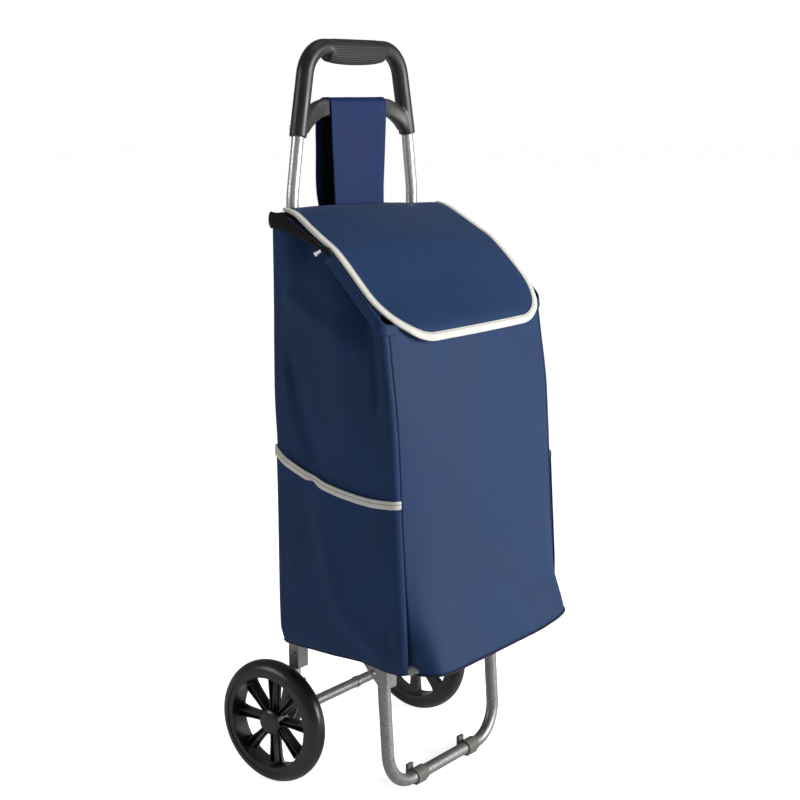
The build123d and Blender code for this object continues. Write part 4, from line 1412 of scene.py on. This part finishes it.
    def make_collar(self, palette: Palette) -> None:
        """Make the collar from the rim to the opening, gathered along its inner edge."""
        strips = []
        for panel, count in COLUMNS.items():
            t = np.linspace(0, 1, max(count // 2, 6) * 3 + 1)[:-1]
            strips.append(self.shape.surface(panel, t, self.shape.rim_height(panel, t) - 1.5 * MM, lift=-1.6 * MM))
        outer = np.concatenate(strips)
        centre = np.array(self.middle)
        angles = np.unwrap(np.arctan2((outer[:, 1] - centre[1]) / 0.085, (outer[:, 0] - centre[0]) / 0.16))
        inner = self.ring(angles, 0.0, 1.0 * MM)
        share = np.linspace(0, 1, 26)[:, None]
        pull = share**0.85
        wave = np.sin(angles * self.gathers + 1.7 * np.sin(angles * 5) + 0.9 * np.sin(angles * 11))
        height = 3.2 * MM * wave[None] * smoothstep(0.15, 0.85, share) - 9 * MM * np.sin(math.pi * share) ** 1.2
        points = outer[None] * (1 - pull[..., None]) + inner[None] * pull[..., None]
        points = points + height[..., None] * np.array(self.normal)
        points = np.concatenate([points, points[:, :1]], axis=1)
        collar = grid_object("gathered_collar", points, measured_uv(points), closed=True)
        palette.dress(collar, Finish.LINING)
        modify(collar, "SOLIDIFY", thickness=0.9 * MM, offset=0.0)
        fix(bake(collar), Fixing("frame", "collar_black", ("mouth_collar",), folds=True))

    def make_cord(self, palette: Palette) -> None:
        """Make the drawstring in its channel, its black sleeve and its white end."""
        angles = np.linspace(0, 2 * math.pi, 181)[:-1]
        ripple = 1.2 * MM * np.sin(angles * self.gathers)
        path = self.ring(angles, 0.0, 0.0) + ripple[:, None] * np.array(self.normal)
        cord = tube_object("drawstring_cord", path, self.cord_radius, sides=12, loop=True)
        palette.dress(cord, Finish.CORD)
        fix(cord, Fixing("frame", "cord_white", ("drawstring",), folds=True))
        stop = np.array(self.stop_place)
        axis = unit(np.array(self.stop_axis))
        tail = stop + axis * self.stop_length
        turn = tail + np.array([-1.0, -4.5, -1.0]) * MM
        route = PathCurve([tail - axis * 2 * MM, turn, tail + np.array([-1.0, -10.0, -8.0]) * MM])
        sleeve = tube_object("cord_sleeve", route.at(np.linspace(0, route.length, 30)), 3.6 * MM, sides=14)
        palette.dress(sleeve, Finish.LINING)
        fix(sleeve, Fixing("frame", "collar_black", folds=True))
        share = np.linspace(0, 1, 25)
        radii = 1.75 * MM + 1.5 * MM * np.abs(2 * share - 1) ** 2.4
        radii[[0, -1]] *= 0.6
        end = tube_object("cord_end", stop + axis * self.stop_length * share[:, None], radii, sides=24)
        palette.dress(end, Finish.STOP)
        fix(end, Fixing("frame", "stop_white", ("cord_stop",), folds=True))


@dataclass(frozen=True)
class Flap:
    """The flap that closes the bag, with tape along its three free edges."""

    shape: FlapShape = FlapShape()
    thickness: float = 1.8 * MM
    rows: int = 80
    columns: int = 90
    tape_width: float = 9.0 * MM

    def build(self, palette: Palette) -> None:
        """Make the sheet and its tape."""
        tape = self.make_tape(palette)
        sheet = self.make_sheet(palette)
        length = self.shape.curve().length

    def make_sheet(self, palette: Palette) -> bpy.types.Object:
        """Make the cloth, with soft waves from its rear seam and a slack front."""
        length = self.shape.curve().length
        s = length * (1 - (1 - np.linspace(0, 1, self.rows)) ** 1.35)[:, None]
        x = self.shape.half_at(s) * np.linspace(-1, 1, self.columns)[None]
        s = np.broadcast_to(s, x.shape)
        flat = np.stack([x, s, np.zeros_like(x)], axis=-1)
        inside = smoothstep(0, 0.03, self.shape.half_width - np.abs(x))
        waves = (1.0 * MM * soft_noise(flat, 0.07) + 0.4 * MM * soft_noise(flat, 0.022)) * inside
        points = self.shape.place(s, x, waves)
        sheet = grid_object("flap_sheet", points, np.stack([x, s], axis=-1))
        sheet.data.flip_normals()
        palette.dress(sheet, Finish.NAVY, Finish.LINING)
        modify(sheet, "SOLIDIFY", thickness=self.thickness, offset=-1.0, material_offset=1)
        return fix(bake(sheet), Fixing("flap", "bag_navy", ("flap",)))

    def make_tape(self, palette: Palette) -> bpy.types.Object:
        """Make the tape that is folded over the edge."""
        length, half, radius = self.shape.curve().length, self.shape.half_width, self.shape.corner_radius
        straight = np.linspace(0, length - radius, 60)[:-1]
        turn = np.linspace(0, math.pi / 2, 36)[:-1]
        front = np.linspace(-(half - radius), half - radius, 60)[:-1]
        side_s, side_x = straight, np.full_like(straight, -half)
        arc_s = length - radius + radius * np.sin(turn)
        arc_x = -half + radius - radius * np.cos(turn)
        s = np.concatenate([side_s, arc_s, np.full_like(front, length), [length], arc_s[::-1], side_s[::-1]])
        x = np.concatenate([side_x, arc_x, front, [half - radius], -arc_x[::-1], -side_x[::-1]])
        in_arc = np.concatenate([np.zeros_like(side_s), np.sin(turn)])
        in_s = np.concatenate([-in_arc, -np.ones(len(front) + 1), -in_arc[::-1]])
        out_x = np.concatenate([np.ones_like(side_s), np.cos(turn)])
        in_x = np.concatenate([out_x, np.zeros(len(front) + 1), -out_x[::-1]])
        width = self.tape_width
        section = np.array([
            (width, 0.1 * MM), (0.96 * width, 0.9 * MM), (0.82 * width, 1.15 * MM), (0.72 * width, 0.95 * MM),
            (0.5 * width, 1.5 * MM), (0.2 * width, 1.5 * MM), (-0.2 * MM, 1.1 * MM), (-1.3 * MM, 0.0),
            (-1.4 * MM, -1.0 * MM), (-0.6 * MM, -2.4 * MM), (0.3 * width, -3.0 * MM), (0.95 * width, -2.7 * MM),
            (0.95 * width, -2.0 * MM),
        ])
        across = x[:, None] + in_x[:, None] * section[None, :, 0]
        along = s[:, None] + in_s[:, None] * section[None, :, 0]
        beyond = np.clip(along - length, 0, None)
        lift = np.broadcast_to(section[None, :, 1], across.shape)
        points = self.shape.place(np.clip(along, 0, length), across, lift)
        ahead = self.shape.curve().tangent(np.array([length]))[0]
        points[..., 1] += beyond * ahead[0]
        points[..., 2] += beyond * ahead[1]
        points = np.concatenate([points, points[:, :1]], axis=1)
        run = np.concatenate([[0], np.cumsum(np.linalg.norm(np.diff(points[:, 4], axis=0), axis=1))])
        ring = np.vstack([section, section[:1]])
        girth = np.concatenate([[0], np.cumsum(np.linalg.norm(np.diff(ring, axis=0), axis=1))])
        uv = np.stack(np.broadcast_arrays(run[:, None], girth[None]), axis=-1)
        tape = grid_object("flap_tape", points, uv, closed=True, caps=True)
        weld(tape)
        palette.dress(tape, Finish.TAPE)
        return fix(tape, Fixing("flap", "binding_grey", ("flap_binding",)))


@dataclass(frozen=True)
class Strap:
    """Wide strap over the handle's crossbar, navy outside and black inside, with folded hems."""

    route: tuple[tuple[float, float], ...] = (
        (0.0602, 0.668), (0.0602, 0.700), (0.0612, 0.735), (0.0613, 0.790), (0.0613, 0.850), (0.0620, 0.8592),
        (0.0650, 0.8619), (0.0700, 0.8622), (0.0750, 0.8618), (0.0795, 0.8585), (0.0832, 0.8480), (0.0858, 0.8000),
        (0.0862, 0.7450), (0.0800, 0.7150), (0.0690, 0.6850), (0.0625, 0.6600), (0.0612, 0.6400),
    )
    hem: float = 6.0 * MM
    columns: int = 41

    def half_width(self, s: np.ndarray, length: float) -> np.ndarray:
        """Half of the width along the strap, widest over the crossbar."""
        share = s / length
        return smooth_interp(share, (0, 0.16, 0.42, 0.5, 0.8, 1.0), (0.0505, 0.0508, 0.0570, 0.0572, 0.0552, 0.0550))

    def build(self, palette: Palette) -> None:
        """Make the strap with its two faces and four edges."""
        curve = PathCurve(self.route)
        s = np.linspace(0, curve.length, 150)
        side = curve.at(s)
        tangent = curve.tangent(s)
        outward = np.stack([-tangent[:, 1], tangent[:, 0]], axis=-1)
        half = self.half_width(s, curve.length)
        q = np.linspace(-1, 1, self.columns)
        x = half[:, None] * q[None]
        to_edge = half[:, None] - np.abs(x)
        hemmed = 0.35 * MM * (1 - smoothstep(self.hem - 1.0 * MM, self.hem + 0.6 * MM, to_edge))
        flat = np.stack([x, np.broadcast_to(s[:, None], x.shape), np.zeros_like(x)], axis=-1)
        wave = 0.5 * MM * soft_noise(flat, 0.05)
        faces = []
        for sign in (1, -1):
            lift = sign * (0.65 * MM + hemmed) + wave
            y = side[:, None, 0] + outward[:, None, 0] * lift
            z = side[:, None, 1] + outward[:, None, 1] * lift
            faces.append(np.stack([x, y, z], axis=-1))
        points = np.concatenate([faces[0], faces[1][:, ::-1], faces[0][:, :1]], axis=1)
        round_v = np.concatenate([to_edge, to_edge[:, ::-1], to_edge[:, :1]], axis=1)
        uv = np.stack([np.broadcast_to(s[:, None], round_v.shape), round_v], axis=-1)
        strap = grid_object("handle_strap_cloth", points, uv, closed=True, caps=True)
        palette.dress(strap, Finish.NAVY_STRAP, Finish.LINING)
        wide = points.shape[1] - 1
        inner = [self.is_lining(i % wide) for i in range(len(strap.data.polygons) - 2)] + [0, 0]
        strap.data.polygons.foreach_set("material_index", inner)
        weld(strap)
        modify(strap, "BEVEL", width=0.4 * MM, segments=2, limit_method="ANGLE", angle_limit=math.radians(50))
        fix(bake(strap), Fixing("frame", "bag_navy", ("handle_strap",)))

    def is_lining(self, column: int) -> int:
        """1 for a column of faces on the inner side, between the hems."""
        margin = 5
        return int(self.columns + margin <= column < 2 * self.columns - margin)


@dataclass(frozen=True)
class RearLoops:
    """Webbing loops that hold the bag's back to the uprights."""

    heights: tuple[float, ...] = (0.360, 0.540)
    width: float = 0.030
    tube_radius: float = 7.5 * MM
    upright_x: float = 0.125
    bag_y: float = 0.0598

    def upright_y(self, z: float) -> float:
        """Depth of the upright's centre at height z."""
        low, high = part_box("lower_cross_tube"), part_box("upper_cross_tube")
        (y0, z0), (y1, z1) = (((a + b) / 2).yz for a, b in (low, high))
        return y0 + (y1 - y0) * (z - z0) / (z1 - z0)

    def build(self, palette: Palette) -> None:
        """Make the four loops."""
        first = True
        for z in self.heights:
            for side, sign in SIDES.items():
                reach = self.tube_radius + 1.3 * MM
                y = self.upright_y(z)
                angles = np.linspace(-0.12 * math.pi, 1.12 * math.pi, 40)
                arc = np.stack([sign * self.upright_x + reach * np.cos(angles), y + reach * np.sin(angles)], axis=-1)
                ends = np.array([[arc[0, 0] + 7 * MM, self.bag_y], [arc[0, 0] + 1 * MM, self.bag_y + 1 * MM]])
                starts = np.array([[arc[-1, 0] - 1 * MM, self.bag_y + 1 * MM], [arc[-1, 0] - 7 * MM, self.bag_y]])
                flat = np.concatenate([ends, arc, starts])
                rows = z + np.linspace(-self.width / 2, self.width / 2, 9)
                points = np.stack([np.column_stack([flat, np.full(len(flat), h)]) for h in rows])
                loop = grid_object(f"rear_loop_{side}_{int(z * 1000)}", points, measured_uv(points))
                palette.dress(loop, Finish.NAVY_DARK)
                modify(loop, "SOLIDIFY", thickness=1.3 * MM, offset=0.0)
                fix(bake(loop), Fixing("frame", "bag_navy", ("rear_loops",) if first else (), folds=False))
                first = False


# --- Handle and running gear --------------------------------------------------------------------


@dataclass(frozen=True)
class Handle:
    """Moulded handle loop with blended crossbar, and the ribbed grip on its top bar."""

    voxel: float = 1.15 * MM
    smoothing: int = 14
    grip_half: float = 0.0560
    grip_depth: float = 11.7 * MM
    ribs: int = 34
    rib_height: float = 0.28 * MM
    web_x: tuple[float, ...] = (0.058, 0.070, 0.082, 0.092, 0.100, 0.108)
    web_top: tuple[float, ...] = (0.8600, 0.8590, 0.8555, 0.8520, 0.8490, 0.8460)
    web_low: tuple[float, ...] = (0.8400, 0.8370, 0.8315, 0.8255, 0.8185, 0.8160)
    web_depth: tuple[float, ...] = (5.4 * MM, 5.8 * MM, 6.8 * MM, 8.0 * MM, 9.2 * MM, 10.0 * MM)

    def build(self, palette: Palette) -> None:
        """Make the handle and its grip."""
        loop = link("handle_loop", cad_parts["handle"].data.copy())
        self.add_webs(loop)
        modify(loop, "REMESH", mode="VOXEL", voxel_size=self.voxel, use_smooth_shade=True)
        modify(loop, "SMOOTH", factor=0.5, iterations=self.smoothing)
        bake(loop)
        palette.dress(loop, Finish.HANDLE)
        fix(loop, Fixing("frame", "handle_black", ("handle",)))
        self.make_grip(palette)

    def add_webs(self, loop: bpy.types.Object) -> None:
        """Join the swelling webs between the crossbar and the legs to the handle's mesh."""
        angles = np.linspace(0, 2 * math.pi, 25)[:-1]
        middle_y = (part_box("handle")[0].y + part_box("handle")[1].y) / 2
        shape = bmesh.new()
        shape.from_mesh(loop.data)
        for sign in SIDES.values():
            rings = []
            for x, top, low, depth in zip(self.web_x, self.web_top, self.web_low, self.web_depth):
                y = middle_y + depth * np.sign(np.cos(angles)) * np.abs(np.cos(angles)) ** 0.7
                z = (top + low) / 2 + (top - low) / 2 * np.sign(np.sin(angles)) * np.abs(np.sin(angles)) ** 0.7
                rings.append([shape.verts.new((sign * x, *pair)) for pair in zip(y, z)])
            for first, second in zip(rings, rings[1:]):
                for i in range(len(angles)):
                    j = (i + 1) % len(angles)
                    shape.faces.new((first[i], first[j], second[j], second[i]))
            shape.faces.new(rings[0])
            shape.faces.new(rings[-1])
        bmesh.ops.recalc_face_normals(shape, faces=shape.faces)
        shape.to_mesh(loop.data)
        shape.free()

    def make_grip(self, palette: Palette) -> None:
        """Make the grip sleeve: an oval with a fuller belly, ribbed below and smooth above."""
        low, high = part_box("grip_pad")
        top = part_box("handle")[1].z
        middle_y = (low.y + high.y) / 2
        middle_z = (top + low.z + 3.4 * MM) / 2
        half_height = top - middle_z + 0.3 * MM
        q = np.linspace(-1, 1, 61)
        angles = np.linspace(0, 2 * math.pi, 8 * self.ribs + 1)
        scale = 1 - 0.05 * smoothstep(0.72, 1.0, np.abs(q))
        belly = 3.2 * MM * (1 - q**2)
        ribbed = smoothstep(0.55, 0.15, np.sin(angles))
        rib = self.rib_height * np.cos(angles * self.ribs) * ribbed
        depth = self.grip_depth + rib
        height = half_height + rib
        y = middle_y + np.cos(angles)[None] * depth[None] * scale[:, None]
        lower = np.clip(-np.sin(angles), 0, 1)
        z = middle_z + np.sin(angles)[None] * height[None] * scale[:, None] - belly[:, None] * lower[None] ** 1.5
        x = np.broadcast_to((q * self.grip_half)[:, None], y.shape)
        points = np.stack([x, y, z], axis=-1)
        uv = np.stack(np.broadcast_arrays(x, (angles * self.grip_depth)[None]), axis=-1)
        grip = grid_object("grip_sleeve", points, uv, closed=True, caps=True)
        weld(grip)
        palette.dress(grip, Finish.GRIP)
        fix(grip, Fixing("frame", "grip_rubber", ("grip_pad",)))


@dataclass(frozen=True)
class RunningGear:
    """Carried-over parts of the frame, base, leg and wheels, by finish."""

    def build(self, palette: Palette) -> None:
        """Give each part its finish."""
        both = tuple(SIDES)
        groups: dict[Finish, list[str]] = {
            # The uprights wear the lighter copy of the grey paint, painted light.
            Finish.UPRIGHT_LIT_COPY: [f"upright_{s}" for s in both],
            Finish.GREY_TUBE: [
                "lower_cross_tube", "upper_cross_tube", "axle_tube", "front_bow", "cross_wires", "leg_tube",
                *(f"{part}_{s}" for part in ("axle_bracket", "hinge_bracket", "rail", "leg_gusset") for s in both),
            ],
            Finish.ZINC: [
                "axle_rod", "axle_washers", "push_nuts", "handle_screws", "base_pivot_rivets", "leg_pivot_rivets"
            ],
            Finish.TYRE: [f"tyre_{s}" for s in both],
            Finish.RIM: [f"rim_{s}" for s in both],
            Finish.CAP: [f"hub_cap_{s}" for s in both],
            Finish.BUSH: [f"wheel_bushes_{s}" for s in both],
            Finish.CLIP: [f"foot_clip_{s}" for s in both],
        }
        for finish, nodes in groups.items():
            palette.dress_nodes(finish, nodes)


def main() -> None:
    """Build the studio and every part of the trolley in order."""
    logging.basicConfig(level=logging.INFO, format="%(name)s: %(message)s")
    palette = Palette()
    Studio().build()
    RunningGear().build(palette)
    Handle().build(palette)
    Bag().build(palette)
    for side in SIDES:
        SidePocket(side).build(palette)
    Mouth().build(palette)
    Flap().build(palette)
    Strap().build(palette)
    RearLoops().build(palette)


if __name__ == "__main__":
    main()
